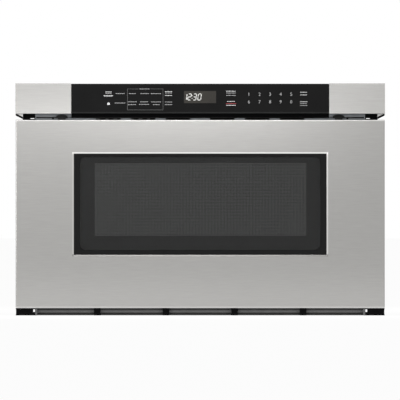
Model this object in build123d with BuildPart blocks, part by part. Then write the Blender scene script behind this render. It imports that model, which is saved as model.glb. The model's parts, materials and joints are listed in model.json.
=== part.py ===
"""Built-in microwave drawer, 24 inch class, as separate pieces.

Millimetres. X runs to the viewer's right, the front faces -Y and Z is up. The origin is the middle
of the bottom, so the skids under the base stand on z = 0. Everything is drawn with the drawer shut.
"""

import os
from math import acos, cos, pi, radians, sin, tan

from build123d import *

os.makedirs("parts", exist_ok=True)

# ---- overall -------------------------------------------------------------------------------------
panel_width = 606.4  # control panel, end to end
overall_height = 381.0
overall_depth = 593.7
clear = 0.3  # running gap between pieces that move past each other
sheet = 1.0  # case and bracket sheet steel
shaft_room = 1.5  # hole round a shaft that it doesn't carry

# ---- drawer front --------------------------------------------------------------------------------
front_inset = 0.5  # end of the panel to the drawer front's edge
front_bottom = 12.3
front_gap = 10.3  # drawer front to the panel above it
front_depth = 30.0  # skin face to the back of the choke cover
skin = 1.0  # stainless sheet
skin_return = 26.0  # folded edges of the skin
skin_round = 1.5  # radius along the folded edges

# ---- window --------------------------------------------------------------------------------------
window_side = 92.8  # steel beside the opening
window_over = 53.0  # steel above it
window_under = 84.6  # steel below it
bevel_width = 2.5
bevel_drop = 0.8
bevel_land = 0.2  # flat left outside the bevel
glass = 4.0
glass_round = 4.0
glass_lap = 3.5  # how far the glass runs behind the skin
gasket = 1.6
gasket_width = 12.0
screen = 0.8  # perforated sheet
sight_side = 36.4  # window edge to the perforated field that is seen through
sight_over = 18.6
sight_under = 33.5
inner_glass_thick = 2.0
inner_window_lap = 7.0

# ---- cavity --------------------------------------------------------------------------------------
cavity_side = 52.4  # side of the case to the cavity
cavity_over = 51.0  # cavity to the top of the front frame
cavity_floor = 92.0
cavity_round = 12.0  # bend between floor and sides
service_depth = 133.0  # space behind the cavity

# ---- choke round the door liner ------------------------------------------------------------------
choke_inset = 5.0  # liner wall to the edge of the cavity opening
choke_groove = 14.0
choke_round = 6.0
liner_sheet = 1.2
choke_cover_thick = 2.0
seal_gap = 0.5  # choke cover to frame

# ---- drawer box ----------------------------------------------------------------------------------
box_side_gap = 4.3
box_floor_gap = 4.0
box_wall = 1.2
box_head = 57.0  # rim to the cavity ceiling
box_rear_gap = 6.0
box_round = 10.0
rim_width = 3.0
rim_height = 6.0
ceramic = 5.0
ceramic_gap = 1.0
ceramic_round = 8.0
ceramic_edge = 1.0

# ---- chassis -------------------------------------------------------------------------------------
case_inset = 32.5  # end of the panel to the side of the case
case_drop = 10.0  # top of the panel to the top of the case
case_bend = 4.0
frame_thick = 1.6
frame_under = 23.0  # cavity floor to the frame's lower edge
frame_drop = 7.3  # panel to the frame's upper edge
pan_floor = 3.0
pan_wall = 24.0
pan_slot_y = 40.0
pan_slot_pitch = 14.0
pan_slots = 6
pan_slot_length = 70.0
skid_width = 30.0
skid_inset = 45.7  # side of the case to the middle of a skid
skid_end = 12.0
skid_round = 8.0
vent_width = 5.0
vent_pitch = 12.0
vent_inset = 70.0  # rear panel to the middle of the case vents
top_vents = 10
top_vent_length = 60.0
side_vents = 8
side_vent_length = 50.0
side_vent_drop = 60.0
inlet_rows = 9  # fan inlet slots
rear_vents = 8
rear_vent_pitch = 14.0
rear_vent_length = 56.0
rear_vent_drop = 70.0
flange_thick = 1.5
flange_inset = 11.9  # end of the panel to the outer edge of the side flanges
flange_leg = 26.0
flange_hole = 4.5
flange_hole_edge = 5.3
flange_screw_low = 60.0
flange_screw_drop = 61.3  # panel to the upper screw
flange_slot_width = 6.4
flange_slot_height = 1.1
flange_slot_rise = 1.6
notch_width = 40.5  # exhaust notches in the top of the frame
notch_depth = 12.0
notch_first = 36.3
notch_pitch = 57.3
notch_count = 3  # on each side

# ---- control panel -------------------------------------------------------------------------------
panel_rise = 49.7  # panel's upright height
panel_tilt = 15.0
touch_glass = 3.0
touch_edge = 0.8
touch_chamfer = 0.5
trim_width = 91.45
trim_sheet = 1.0
trim_gap = 0.3
trim_return = 12.0
trim_foot = 3.0  # the lower return is shorter
bracket_line = 1.6  # joint between the frame and the brackets above it
panel_bracket_drop = 4.0
housing_wall = 2.0
housing_ledge = 4.0  # glass to the front edge of the housing's floor
pad_gap = 1.0  # inner end of a pad to the trim's edge
wing_root = 1.0  # how far the wings reach up into the housing
wing_tip = 3.0  # panel to the under side of their outer ends
wing_drop = 5.1  # panel to the top of their inner ends
wing_thick = 3.3
wing_depth = 18.0
board = 1.6
board_depth = 9.0
board_inset = 12.0
display_width = 58.4
display_height = 25.9
display_rise = 13.9

# ---- grille under the drawer ---------------------------------------------------------------------
grille_height = 12.0
grille_inset = 0.2  # end of the panel to the end of the grille
grille_block = 28.4
grille_waist = 1.8  # hollow of the end blocks
grille_depth = 9.0
grille_lap = 3.0  # end blocks over the channel's ends
grille_rib = 10.6
grille_rib_pitch = 112.6
grille_ribs = 4
grille_slot = 3.9  # width of the slot in each end block
grille_slot_low = 5.7
grille_slot_high = 10.7
grille_set_back = 2.0  # grille to the frame face
toe_radius = 5.9  # channel behind the grille

# ---- slides and rails ----------------------------------------------------------------------------
travel = 380.0  # how far the drawer opens
slide_inset = 65.7  # side of the case to the fixed slide members
slide_depth = 12.7
slide_height = 35.0
slide_level = 42.0
slide_sheet = 1.2
slide_length = 440.0
slide_start_gap = 4.0
slide_mouth_gap = 2.0
slide_lip = 1.5
slide_foot = 20.0
slide_bracket_rise = 3.0
rail_sheet = 1.5
rail_top = 66.0
rail_shelf = 12.0
rail_tab = 26.0
rail_over = 2.0  # rail end past the rack
rail_window_gap = 2.0
rack_window_gap = 3.0

# ---- hooks, switches and pads --------------------------------------------------------------------
hook_base = 5.5
hook_plate_over = 6.0
hook_level = 190.0
hook_thick = 5.0
hook_height = 22.0
hook_length = 34.0
hook_finger = 5.0
hook_notch = 6.0
hook_slant = 8.0
hook_gap = 2.0
switch_flange = 8.0
switch_plate_height = 60.0
switch_plate_depth = 26.0
switch_gap = 1.0  # end of the shut hook to the switch body
switch_length = 28.0
switch_height = 16.0
switch_thick = 10.0
switch_pitch = 28.0
switch_round = 1.0
plunger = 4.0
plunger_reach = 3.5
plunger_inset = 2.0
bumper_inset = 43.5  # side of the case to the upper pads
bumper_rise = 2.0  # top of the frame to their middle
bumper_low_inset = 15.7
bumper_low_level = 50.0
bumper_width = 19.0
bumper_height = 7.0
bumper_tongue = 12.6  # width of the tongue that the drawer rests against
bumper_tongue_drop = 13.0
bumper_edge = 0.6

# ---- drive ---------------------------------------------------------------------------------------
shaft_level = 34.0
shaft_setback = 69.75  # frame to the cross shaft
shaft_radius = 4.0
shaft_overhang = 1.0
shaft_chamfer = 0.6
rack_module = 2.0
rack_pinion_teeth = 16
rack_width = 11.5
rack_back = 8.0
rack_margin = 20.0
pinion_width = 10.0
addendum = 0.8  # in modules
dedendum = 1.05  # in modules
pressure_angle = 20.0
backlash = 0.25
gear_module = 1.25
driven_teeth = 42
motor_teeth = 14
gear_x = 60.0
gear_width = 8.0
gear_boss = 9.0
gear_boss_length = 5.0
gear_hole = 5.0
gear_holes = 6
motor_radius = 18.5
motor_length = 62.0
motor_step = 3.0
motor_taper = 6.0
gearbox_length = 22.0
motor_stand_off = 4.0
motor_shaft = 2.5
motor_foot = 16.0
bracket_gap = 19.3  # rack to the shaft brackets
bracket_thick = 3.0
bracket_ring = 5.0
bracket_foot = 14.0
bush_radius = 7.0
bush_length = 9.0
bush_flange = 2.0
bush_flange_thick = 1.5
shaft_fit = 0.15

# ---- stirrer and lamp ----------------------------------------------------------------------------
stirrer_width = 190.0
stirrer_box_height = 18.0
stirrer_setback = 226.35  # frame to the stirrer's axis
stirrer_shaft = 3.0
stirrer_cover_lap = 6.0
stirrer_hub = 9.0
stirrer_lift = 4.0  # blade over the ceiling sheet
vane_count = 4
vane_root = 8.0
vane_tip_gap = 8.0
vane_width = 22.0
vane_thick = 1.2
vane_lip_root = 28.0
vane_lip_gap = 12.0
vane_lip_height = 9.0
vane_lip_thick = 1.5
stirrer_motor_radius = 25.0
stirrer_motor_height = 22.0
stirrer_motor_step = 2.0
motor_ear_width = 12.0
motor_ear_depth = 10.0
cover_thick = 1.2
lamp_setback = 326.35  # frame to the lamp
lamp_drop = 38.0  # cavity ceiling to the lamp
lamp_radius = 11.0
lamp_box = 32.0
lamp_length = 30.0
lamp_round = 4.0
lamp_rim = 1.0
lamp_base = 4.0
bulb_gap = 2.0

# ---- magnetron, guide, transformer ---------------------------------------------------------------
guide_port = 38.0
guide_margin = 7.0
guide_height = 36.0
guide_tail = 44.0  # magnetron axis to the end of the guide
antenna_radius = 9.0
antenna_length = 24.0
antenna_gap = 2.0
antenna_round = 3.0
anode_radius = 21.0
yoke_sheet = 2.0
magnetron_inset = 68.85  # back of the machine to the magnetron's axis
magnetron_width = 92.0
magnetron_depth = 74.0
magnetron_height = 56.0
magnetron_fin = 0.8
magnetron_fin_inset = 3.0
magnetron_fins = 6
transformer_x = -110.0
transformer_inset = 60.85
core_width = 96.0
core_height = 84.0
core_depth = 56.0
core_leg = 32.0
core_window = 16.0
core_yoke = 16.0
coil_gap = 1.0
capacitor_x = -22.0
capacitor_inset = 48.85
capacitor_width = 52.0
capacitor_depth = 33.0
capacitor_height = 88.0
capacitor_round = 2.0
tab_offset = 9.0
tab_thick = 1.0
tab_width = 7.0
tab_height = 9.0

# ---- fan, duct, filter and cord bush -------------------------------------------------------------
fan_x = 95.0
fan_level = 110.0
fan_radius = 62.0
fan_blades = 7
fan_hub = 20.0
fan_hub_length = 16.0
fan_root_sink = 2.0
fan_root_chord = 17.0
fan_root_thick = 1.6
fan_root_pitch = 50.0
fan_tip_chord = 24.0
fan_tip_thick = 1.2
fan_tip_pitch = 25.0
fan_shaft = 2.5
fan_shaft_end = 2.0
fan_stand_off = 5.0
fan_gap = 3.0
fan_square = 140.0
fan_plate_gap = 34.0  # rear panel to fan plate
fan_motor_width = 46.0
fan_motor_height = 52.0
fan_motor_depth = 16.0
fan_motor_round = 3.0
fan_coil_drop = 16.0
fan_coil_width = 30.0
fan_coil_height = 22.0
fan_coil_depth = 30.0
fan_coil_round = 5.0
shroud_wall = 1.5
shroud_round = 6.0
shroud_bar = 24.0
duct_gap = 3.45  # duct to the panel brackets
duct_length = 140.0
filter_inset = 70.7  # side of the case to the middle of the board
filter_level = 230.0
filter_width = 90.0
filter_height = 60.0
filter_post = 8.0
filter_post_radius = 3.0
filter_post_inset = 5.0
filter_coil_offset = 18.0
filter_coil_width = 30.0
filter_coil_height = 34.0
filter_coil_round = 4.0
filter_block_offset = 22.0
filter_block_width = 18.0
filter_block_height = 28.0
filter_part_depth = 20.0
gland_inset = 55.7
gland_level = 60.0
gland_radius = 9.0
gland_lip = 2.0
gland_flange = 3.0
gland_inner_flange = 2.0
gland_wall = 4.0

# ---- places worked out from the sizes above ------------------------------------------------------
front_y = -overall_depth / 2
back_y = overall_depth / 2
panel_half = panel_width / 2
panel_bottom = overall_height - panel_rise
touch_half = panel_half - trim_width - trim_gap
front_top = panel_bottom - front_gap
front_half = panel_half - front_inset
door_back = front_y + front_depth
frame_y = door_back + seal_gap
frame_back = frame_y + frame_thick
frame_top = panel_bottom - frame_drop
frame_bottom = cavity_floor - frame_under
case_half = panel_half - case_inset
case_top = overall_height - case_drop
flange_reach = panel_half - flange_inset
cavity_half = case_half - cavity_side
cavity_top = frame_top - cavity_over
cavity_back = back_y - service_depth
window_half = front_half - window_side
window_bottom = front_bottom + window_under
window_top = front_top - window_over
glass_front = front_y + skin
glass_back = glass_front + glass
screen_front = glass_back + gasket
liner_front = screen_front + screen
liner_inner = cavity_half + choke_inset
liner_outer = liner_inner + liner_sheet + choke_groove + liner_sheet
liner_low = cavity_floor - (liner_outer - cavity_half)
liner_high = cavity_top + (liner_outer - cavity_half)
sight_half = window_half - sight_side
sight_bottom = window_bottom + sight_under
sight_top = window_top - sight_over
pan_back_y = front_y + skin_return  # rear face of the drawer's back pan
box_half = cavity_half - box_side_gap
box_floor = cavity_floor + box_floor_gap
box_top = cavity_top - box_head
box_back = cavity_back - box_rear_gap
slide_face = case_half - slide_inset
slide_start = frame_back + slide_start_gap
slide_inner_face = slide_face - slide_depth
slide_half = slide_height / 2
middle_half = slide_half - slide_sheet - clear
inner_half = middle_half - slide_sheet - clear
rail_face = slide_inner_face - rail_sheet
rail_low = slide_level - inner_half
hook_x = liner_outer + clear + hook_base
switch_inner = hook_x + hook_thick / 2 + hook_gap
shaft_y = frame_back + shaft_setback
pitch_radius = rack_module * rack_pinion_teeth / 2
pitch_level = shaft_level + pitch_radius
rack_top = pitch_level + dedendum * rack_module + rack_back
rack_start = shaft_y - rack_margin
rack_end = shaft_y + travel + rack_margin
rail_end = rack_end + rail_over
gear_radius = gear_module * driven_teeth / 2
motor_y = shaft_y + gear_radius + gear_module * motor_teeth / 2
window_out = slide_face + rail_window_gap  # rail windows in the lower front panel
window_in = rail_face - rack_width - rack_window_gap
window_low = slide_level - slide_half - rail_window_gap
bracket_x = rail_face - rack_width - bracket_gap
pan_top = pan_floor + sheet
skid_x = case_half - skid_inset
rear_y = back_y - gland_lip
gland_x = gland_inset - case_half
filter_x = filter_inset - case_half
stirrer_y = frame_y + stirrer_setback
lamp_y = frame_y + lamp_setback
lamp_level = cavity_top - lamp_drop
guide_floor = cavity_top + sheet + stirrer_box_height
guide_half = guide_port + guide_margin
magnetron_y = back_y - magnetron_inset
transformer_y = back_y - transformer_inset
capacitor_y = back_y - capacitor_inset
grille_end = panel_half - grille_inset


# ---- helpers -------------------------------------------------------------------------------------
def front_at(y):
    """Sketch plane facing the viewer at this depth: sketch (x, z); minus amounts go to the back."""
    return Plane.XZ.offset(-y)


def side_at(x):
    """Sketch plane across the object at this x: sketch (y, z), amounts go to the right."""
    return Plane.YZ.offset(x)


def area(u0, u1, v0, v1, mode=Mode.ADD):
    """Rectangle of the open sketch between two values along each sketch axis."""
    with Locations(((u0 + u1) / 2, (v0 + v1) / 2)):
        Rectangle(u1 - u0, v1 - v0, mode=mode)


def solid_area(u0, u1, v0, v1, round_by):
    """The same with rounded corners."""
    with Locations(((u0 + u1) / 2, (v0 + v1) / 2)):
        RectangleRounded(u1 - u0, v1 - v0, round_by)


def trough_area(u0, u1, v0, v1, round_by):
    """The same with its two lower corners rounded; the only shape of its sketch."""
    area(u0, u1, v0, v1)
    fillet(vertices().group_by(Axis.Y)[0], round_by)


def sides(x):
    """The two mirrored x places."""
    return (-x, x)


def involute(angle):
    return tan(angle) - angle


def gear_points(teeth, module, turn=0.0):
    """Outline of a addendum involute gear: root, base, pitch and tip points on both flanks of each tooth.

    turn is the angle of the first tooth in degrees, from the first sketch axis."""
    pitch_r = teeth * module / 2
    base_r = pitch_r * cos(radians(pressure_angle))
    root_r = pitch_r - dedendum * module
    tip_r = pitch_r + addendum * module
    half_tooth = pi / (2 * teeth) - backlash / (4 * pitch_r)
    flank = []
    for r in (root_r, max(base_r, root_r + 0.1 * module), pitch_r, tip_r):
        roll = acos(min(1.0, base_r / r))
        flank.append((r, half_tooth + involute(radians(pressure_angle)) - involute(roll)))
    points = []
    for k in range(teeth):
        middle = radians(turn) + 2 * pi * k / teeth
        points += [(r * cos(middle - a), r * sin(middle - a)) for r, a in flank]
        points += [(r * cos(middle + a), r * sin(middle + a)) for r, a in reversed(flank)]
    return points


def write(builder, label):
    builder.part.label = label
    export_step(builder.part, f"parts/{label}.step")
    print(f"{label:24s} {len(builder.part.solids()):3d} solids {builder.part.volume / 1000:10.1f} cm3")


# ==== drawer front ================================================================================
# Stainless pan: face with four folded edges and the window opening.
with BuildPart() as front_skin:
    with BuildSketch(front_at(front_y)):
        area(-front_half, front_half, front_bottom, front_top)
    extrude(amount=-skin_return)
    fillet(front_skin.faces().sort_by(Axis.Y)[0].edges(), skin_round)
    with BuildSketch(front_at(front_y + skin)):
        area(-front_half + skin, front_half - skin, front_bottom + skin, front_top - skin)
    extrude(amount=-skin_return, mode=Mode.SUBTRACT)
    with BuildSketch(front_at(front_y)):
        area(-window_half, window_half, window_bottom, window_top)
    extrude(amount=-skin, mode=Mode.SUBTRACT)
write(front_skin, "front_skin")

# Bright bevelled frame lining the window opening, its inner edge set back.
with BuildPart() as window_trim:
    with BuildSketch(front_at(front_y)):
        area(-window_half, window_half, window_bottom, window_top)
    extrude(amount=-skin)
    for depth, inset in ((0, bevel_land), (bevel_drop, bevel_width)):
        with BuildSketch(front_at(front_y + depth)):
            area(-window_half + inset, window_half - inset, window_bottom + inset, window_top - inset)
    loft(mode=Mode.SUBTRACT)
    with BuildSketch(front_at(front_y + bevel_drop)):
        area(
            -window_half + bevel_width,
            window_half - bevel_width,
            window_bottom + bevel_width,
            window_top - bevel_width,
        )
    extrude(amount=-skin, mode=Mode.SUBTRACT)
write(window_trim, "window_trim")

with BuildPart() as window_glass:
    with BuildSketch(front_at(glass_front)):
        solid_area(
            -window_half - glass_lap,
            window_half + glass_lap,
            window_bottom - glass_lap,
            window_top + glass_lap,
            glass_round,
        )
    extrude(amount=-glass)
write(window_glass, "window_glass")

# Rubber frame between the outer glass and the perforated screen.
with BuildPart() as window_gasket:
    with BuildSketch(front_at(glass_back)):
        area(
            -window_half - glass_lap,
            window_half + glass_lap,
            window_bottom - glass_lap,
            window_top + glass_lap,
        )
        area(
            -window_half - glass_lap + gasket_width,
            window_half + glass_lap - gasket_width,
            window_bottom - glass_lap + gasket_width,
            window_top + glass_lap - gasket_width,
            mode=Mode.SUBTRACT,
        )
    extrude(amount=-gasket)
write(window_gasket, "window_gasket")

with BuildPart() as window_screen:
    with BuildSketch(front_at(screen_front)):
        area(
            -window_half - glass_lap,
            window_half + glass_lap,
            window_bottom - glass_lap,
            window_top + glass_lap,
        )
    extrude(amount=-screen)
write(window_screen, "window_screen")

# Door liner: front plate, window tunnel, back plate and the two walls of the choke groove.
back_plate_y = door_back - choke_cover_thick
with BuildPart() as door_liner:
    with BuildSketch(front_at(liner_front)):
        area(-liner_outer, liner_outer, liner_low, liner_high)
        area(-sight_half, sight_half, sight_bottom, sight_top, mode=Mode.SUBTRACT)
    extrude(amount=-liner_sheet)
    with BuildSketch(front_at(liner_front)):
        area(-liner_outer, liner_outer, liner_low, liner_high)
        area(
            -liner_outer + liner_sheet,
            liner_outer - liner_sheet,
            liner_low + liner_sheet,
            liner_high - liner_sheet,
            mode=Mode.SUBTRACT,
        )
        area(
            -liner_inner - liner_sheet,
            liner_inner + liner_sheet,
            cavity_floor - choke_inset - liner_sheet,
            cavity_top + choke_inset + liner_sheet,
        )
        area(
            -liner_inner,
            liner_inner,
            cavity_floor - choke_inset,
            cavity_top + choke_inset,
            mode=Mode.SUBTRACT,
        )
        area(
            -sight_half - liner_sheet,
            sight_half + liner_sheet,
            sight_bottom - liner_sheet,
            sight_top + liner_sheet,
        )
        area(-sight_half, sight_half, sight_bottom, sight_top, mode=Mode.SUBTRACT)
    extrude(amount=-(back_plate_y - liner_front))
    with BuildSketch(front_at(back_plate_y)):
        area(
            -liner_inner - liner_sheet,
            liner_inner + liner_sheet,
            cavity_floor - choke_inset - liner_sheet,
            cavity_top + choke_inset + liner_sheet,
        )
        area(-sight_half, sight_half, sight_bottom, sight_top, mode=Mode.SUBTRACT)
    extrude(amount=liner_sheet)
write(door_liner, "door_liner")

# Black moulding over the choke groove and round the inner glass, the face that meets the frame.
with BuildPart() as choke_cover:
    with BuildSketch(front_at(back_plate_y)):
        solid_area(-liner_outer, liner_outer, liner_low, liner_high, choke_round)
        area(
            -sight_half - inner_window_lap - clear,
            sight_half + inner_window_lap + clear,
            sight_bottom - inner_window_lap - clear,
            sight_top + inner_window_lap + clear,
            mode=Mode.SUBTRACT,
        )
    extrude(amount=-choke_cover_thick)
write(choke_cover, "choke_cover")

with BuildPart() as inner_glass:
    with BuildSketch(front_at(back_plate_y)):
        area(
            -sight_half - inner_window_lap,
            sight_half + inner_window_lap,
            sight_bottom - inner_window_lap,
            sight_top + inner_window_lap,
        )
    extrude(amount=-inner_glass_thick)
write(inner_glass, "inner_glass")

# Back pan closes the skin round the liner, with its edges turned forward against the skin.
with BuildPart() as back_pan:
    with BuildSketch(front_at(pan_back_y - sheet)):
        area(-front_half + skin, front_half - skin, front_bottom + skin, front_top - skin)
        area(-liner_outer, liner_outer, liner_low, liner_high, mode=Mode.SUBTRACT)
    extrude(amount=-sheet)
    with BuildSketch(front_at(pan_back_y - sheet)):
        area(-front_half + skin, front_half - skin, front_bottom + skin, front_top - skin)
        area(
            -front_half + skin + sheet,
            front_half - skin - sheet,
            front_bottom + skin + sheet,
            front_top - skin - sheet,
            mode=Mode.SUBTRACT,
        )
    extrude(amount=skin_return / 2)
write(back_pan, "back_pan")

# ==== drawer box ==================================================================================
# Tray with rounded bends, open on top and closed in front by the door, its rim rolled outwards.
with BuildPart() as drawer_box:
    with BuildSketch(front_at(door_back)):
        trough_area(-box_half, box_half, box_floor, box_top, box_round)
    extrude(amount=-(box_back - door_back))
    with BuildSketch(front_at(door_back)):
        trough_area(
            -box_half + box_wall,
            box_half - box_wall,
            box_floor + box_wall,
            box_top + box_wall,
            box_round - box_wall,
        )
    extrude(amount=-(box_back - box_wall - door_back), mode=Mode.SUBTRACT)
    with BuildSketch(Plane.XY.offset(box_top)):
        area(-box_half - rim_width, box_half + rim_width, door_back, box_back + rim_width)
        area(-box_half, box_half, door_back, box_back, mode=Mode.SUBTRACT)
    extrude(amount=-rim_height)
write(drawer_box, "drawer_box")

# Glass-ceramic plate lying on the tray floor.
with BuildPart() as ceramic_floor:
    with BuildSketch(Plane.XY.offset(box_floor + box_wall)):
        solid_area(
            -box_half + box_round + ceramic_gap,
            box_half - box_round - ceramic_gap,
            door_back + ceramic_gap,
            box_back - box_wall - ceramic_gap,
            ceramic_round,
        )
    extrude(amount=ceramic)
    fillet(ceramic_floor.faces().sort_by(Axis.Z)[-1].edges(), ceramic_edge)
write(ceramic_floor, "ceramic_floor")

# Two channels that carry the drawer from its back pan, each with a front tab and a top shelf.
with BuildPart() as carriage_rails:
    with BuildSketch(front_at(pan_back_y)):
        area(rail_face, slide_inner_face, rail_low, rail_top)
        area(slide_inner_face - rail_shelf, slide_inner_face, rail_top - rail_sheet, rail_top)
    extrude(amount=-(rail_end - pan_back_y))
    with BuildSketch(front_at(pan_back_y)):
        area(rail_face - rail_tab, slide_inner_face, rail_low, rail_top)
    extrude(amount=-rail_sheet)
    mirror(about=Plane.YZ)
write(carriage_rails, "carriage_rails")

# Toothed bars on the inner side of the rails, teeth down on the pinions.
rack_pitch = pi * rack_module
rack_teeth = int((rack_end - rack_start) / rack_pitch) - 1
first_tooth = shaft_y + (0.5 - int(rack_margin / rack_pitch)) * rack_pitch


def tooth_half(level):
    """Half width of a rack tooth at this height."""
    return rack_pitch / 4 - backlash / 4 + (level - pitch_level) * tan(radians(pressure_angle))


def rack_points():
    """Side outline of the bar: its back, then each tooth's root and tip points."""
    root = pitch_level + dedendum * rack_module
    tip = pitch_level - addendum * rack_module
    points = [(rack_start, rack_top), (rack_start, root)]
    for k in range(rack_teeth):
        middle = first_tooth + k * rack_pitch
        points += [
            (middle - tooth_half(root), root),
            (middle - tooth_half(tip), tip),
            (middle + tooth_half(tip), tip),
            (middle + tooth_half(root), root),
        ]
    return points + [(rack_end, root), (rack_end, rack_top)]


with BuildPart() as drive_racks:
    with BuildSketch(side_at(rail_face - rack_width)):
        with BuildLine():
            Polyline(*rack_points(), close=True)
        make_face()
    extrude(amount=rack_width)
    mirror(about=Plane.YZ)
write(drive_racks, "drive_racks")

# Hooks on the back pan that pass through the frame and press the interlock switches.
hook_end = pan_back_y + hook_length
hook_foot = hook_level - hook_height / 2
hook_top = hook_level + hook_height / 2
with BuildPart() as latch_hooks:
    with BuildSketch(side_at(hook_x - hook_thick / 2)):
        with BuildLine():
            Polyline(
                (pan_back_y, hook_top),
                (pan_back_y, hook_foot),
                (hook_end, hook_foot),
                (hook_end, hook_foot + hook_finger),
                (hook_end - hook_notch, hook_foot + hook_finger),
                (hook_end - hook_notch, hook_level),
                (hook_end, hook_level),
                (hook_end - hook_slant, hook_top),
                close=True,
            )
        make_face()
    extrude(amount=hook_thick)
    with BuildSketch(front_at(pan_back_y)):
        area(
            hook_x - hook_base,
            hook_x + hook_base,
            hook_foot - hook_plate_over,
            hook_top + hook_plate_over,
        )
    extrude(amount=-sheet)
    mirror(about=Plane.YZ)
write(latch_hooks, "latch_hooks")

# ==== slides ======================================================================================
# Fixed members: channels with small lips at the mouth, open towards the rails.
slide_mouth = slide_inner_face + slide_mouth_gap
with BuildPart() as slide_outer_members:
    with BuildSketch(front_at(slide_start)):
        area(slide_mouth, slide_face, slide_level - slide_half, slide_level + slide_half)
        area(
            slide_mouth,
            slide_face - slide_sheet,
            slide_level - slide_half + slide_sheet,
            slide_level + slide_half - slide_sheet,
            mode=Mode.SUBTRACT,
        )
        for end in (-1, 1):
            lip_base = slide_level + end * (slide_half - slide_sheet)
            lip_edge = lip_base - end * slide_lip
            area(slide_mouth, slide_mouth + slide_sheet, min(lip_base, lip_edge), max(lip_base, lip_edge))
    extrude(amount=-slide_length)
    mirror(about=Plane.YZ)
write(slide_outer_members, "slide_outer_members")

middle_face = slide_face - slide_sheet - clear
with BuildPart() as slide_middle_members:
    with BuildSketch(front_at(slide_start)):
        area(
            slide_mouth + slide_sheet + clear,
            middle_face,
            slide_level - middle_half,
            slide_level + middle_half,
        )
        area(
            slide_mouth + slide_sheet + clear,
            middle_face - slide_sheet,
            slide_level - middle_half + slide_sheet,
            slide_level + middle_half - slide_sheet,
            mode=Mode.SUBTRACT,
        )
    extrude(amount=-slide_length)
    mirror(about=Plane.YZ)
write(slide_middle_members, "slide_middle_members")

with BuildPart() as slide_inner_members:
    with BuildSketch(front_at(slide_start)):
        area(
            slide_inner_face,
            middle_face - slide_sheet - clear,
            slide_level - inner_half,
            slide_level + inner_half,
        )
        area(
            slide_inner_face + slide_sheet,
            middle_face,
            slide_level - inner_half + slide_sheet,
            slide_level + inner_half - slide_sheet,
            mode=Mode.SUBTRACT,
        )
    extrude(amount=-slide_length)
    mirror(about=Plane.YZ)
write(slide_inner_members, "slide_inner_members")

# Walls on the base pan that the fixed members are screwed to.
with BuildPart() as slide_brackets:
    with BuildSketch(front_at(slide_start)):
        area(slide_face, slide_face + rail_sheet, pan_top, slide_level + slide_half + slide_bracket_rise)
        area(slide_face, slide_face + slide_foot, pan_top, pan_top + rail_sheet)
    extrude(amount=-slide_length)
    mirror(about=Plane.YZ)
write(slide_brackets, "slide_brackets")

# ==== drive =======================================================================================
shaft_half = rail_face - shaft_overhang
pinion_in = rail_face - rack_width / 2 - pinion_width / 2


def shaft_plane(x, y=shaft_y):
    """Sketch plane across a shaft at this x: sketch (y, z) measured from the shaft's centre."""
    return Plane(origin=(x, y, shaft_level), x_dir=(0, 1, 0), z_dir=(1, 0, 0))


with BuildPart() as drive_shaft:
    with BuildSketch(shaft_plane(-shaft_half)):
        Circle(shaft_radius)
    extrude(amount=2 * shaft_half)
    chamfer(drive_shaft.edges().filter_by(GeomType.CIRCLE), shaft_chamfer)
write(drive_shaft, "drive_shaft")

with BuildPart() as shaft_pinions:
    with BuildSketch(shaft_plane(pinion_in)):
        with BuildLine():
            Polyline(*gear_points(rack_pinion_teeth, rack_module), close=True)
        make_face()
        Circle(shaft_radius, mode=Mode.SUBTRACT)
    extrude(amount=pinion_width)
    mirror(about=Plane.YZ)
write(shaft_pinions, "shaft_pinions")

with BuildPart() as driven_gear:
    with BuildSketch(shaft_plane(gear_x)):
        with BuildLine():
            Polyline(*gear_points(driven_teeth, gear_module), close=True)
        make_face()
        with PolarLocations((gear_boss + gear_radius) / 2, gear_holes):
            Circle(gear_hole, mode=Mode.SUBTRACT)
    extrude(amount=gear_width)
    with BuildSketch(shaft_plane(gear_x)):
        Circle(gear_boss)
    extrude(amount=gear_width + gear_boss_length)
    with BuildSketch(shaft_plane(gear_x)):
        Circle(shaft_radius)
    extrude(amount=gear_width + gear_boss_length, mode=Mode.SUBTRACT)
write(driven_gear, "driven_gear")

motor_face = gear_x - motor_stand_off
with BuildPart() as motor_pinion:
    with BuildSketch(shaft_plane(gear_x, motor_y)):
        with BuildLine():
            Polyline(*gear_points(motor_teeth, gear_module, 180 / motor_teeth), close=True)
        make_face()
    extrude(amount=gear_width)
    with BuildSketch(shaft_plane(motor_face + clear, motor_y)):
        Circle(motor_shaft)
    extrude(amount=motor_stand_off)
write(motor_pinion, "motor_pinion")

# Gear motor: round gearbox, smaller motor can and end cap, lying across the base.
with BuildPart() as drive_motor:
    with BuildSketch(Plane(origin=(motor_face, motor_y, shaft_level), x_dir=(1, 0, 0), z_dir=(0, -1, 0))):
        with BuildLine():
            Polyline(
                (0, 0),
                (0, motor_radius),
                (-gearbox_length, motor_radius),
                (-gearbox_length, motor_radius - motor_step),
                (-motor_length + motor_taper, motor_radius - motor_step),
                (-motor_length, motor_radius - motor_step - motor_taper),
                (-motor_length, 0),
                close=True,
            )
        make_face()
    revolve(axis=Axis((motor_face, motor_y, shaft_level), (1, 0, 0)))
write(drive_motor, "drive_motor")

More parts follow.
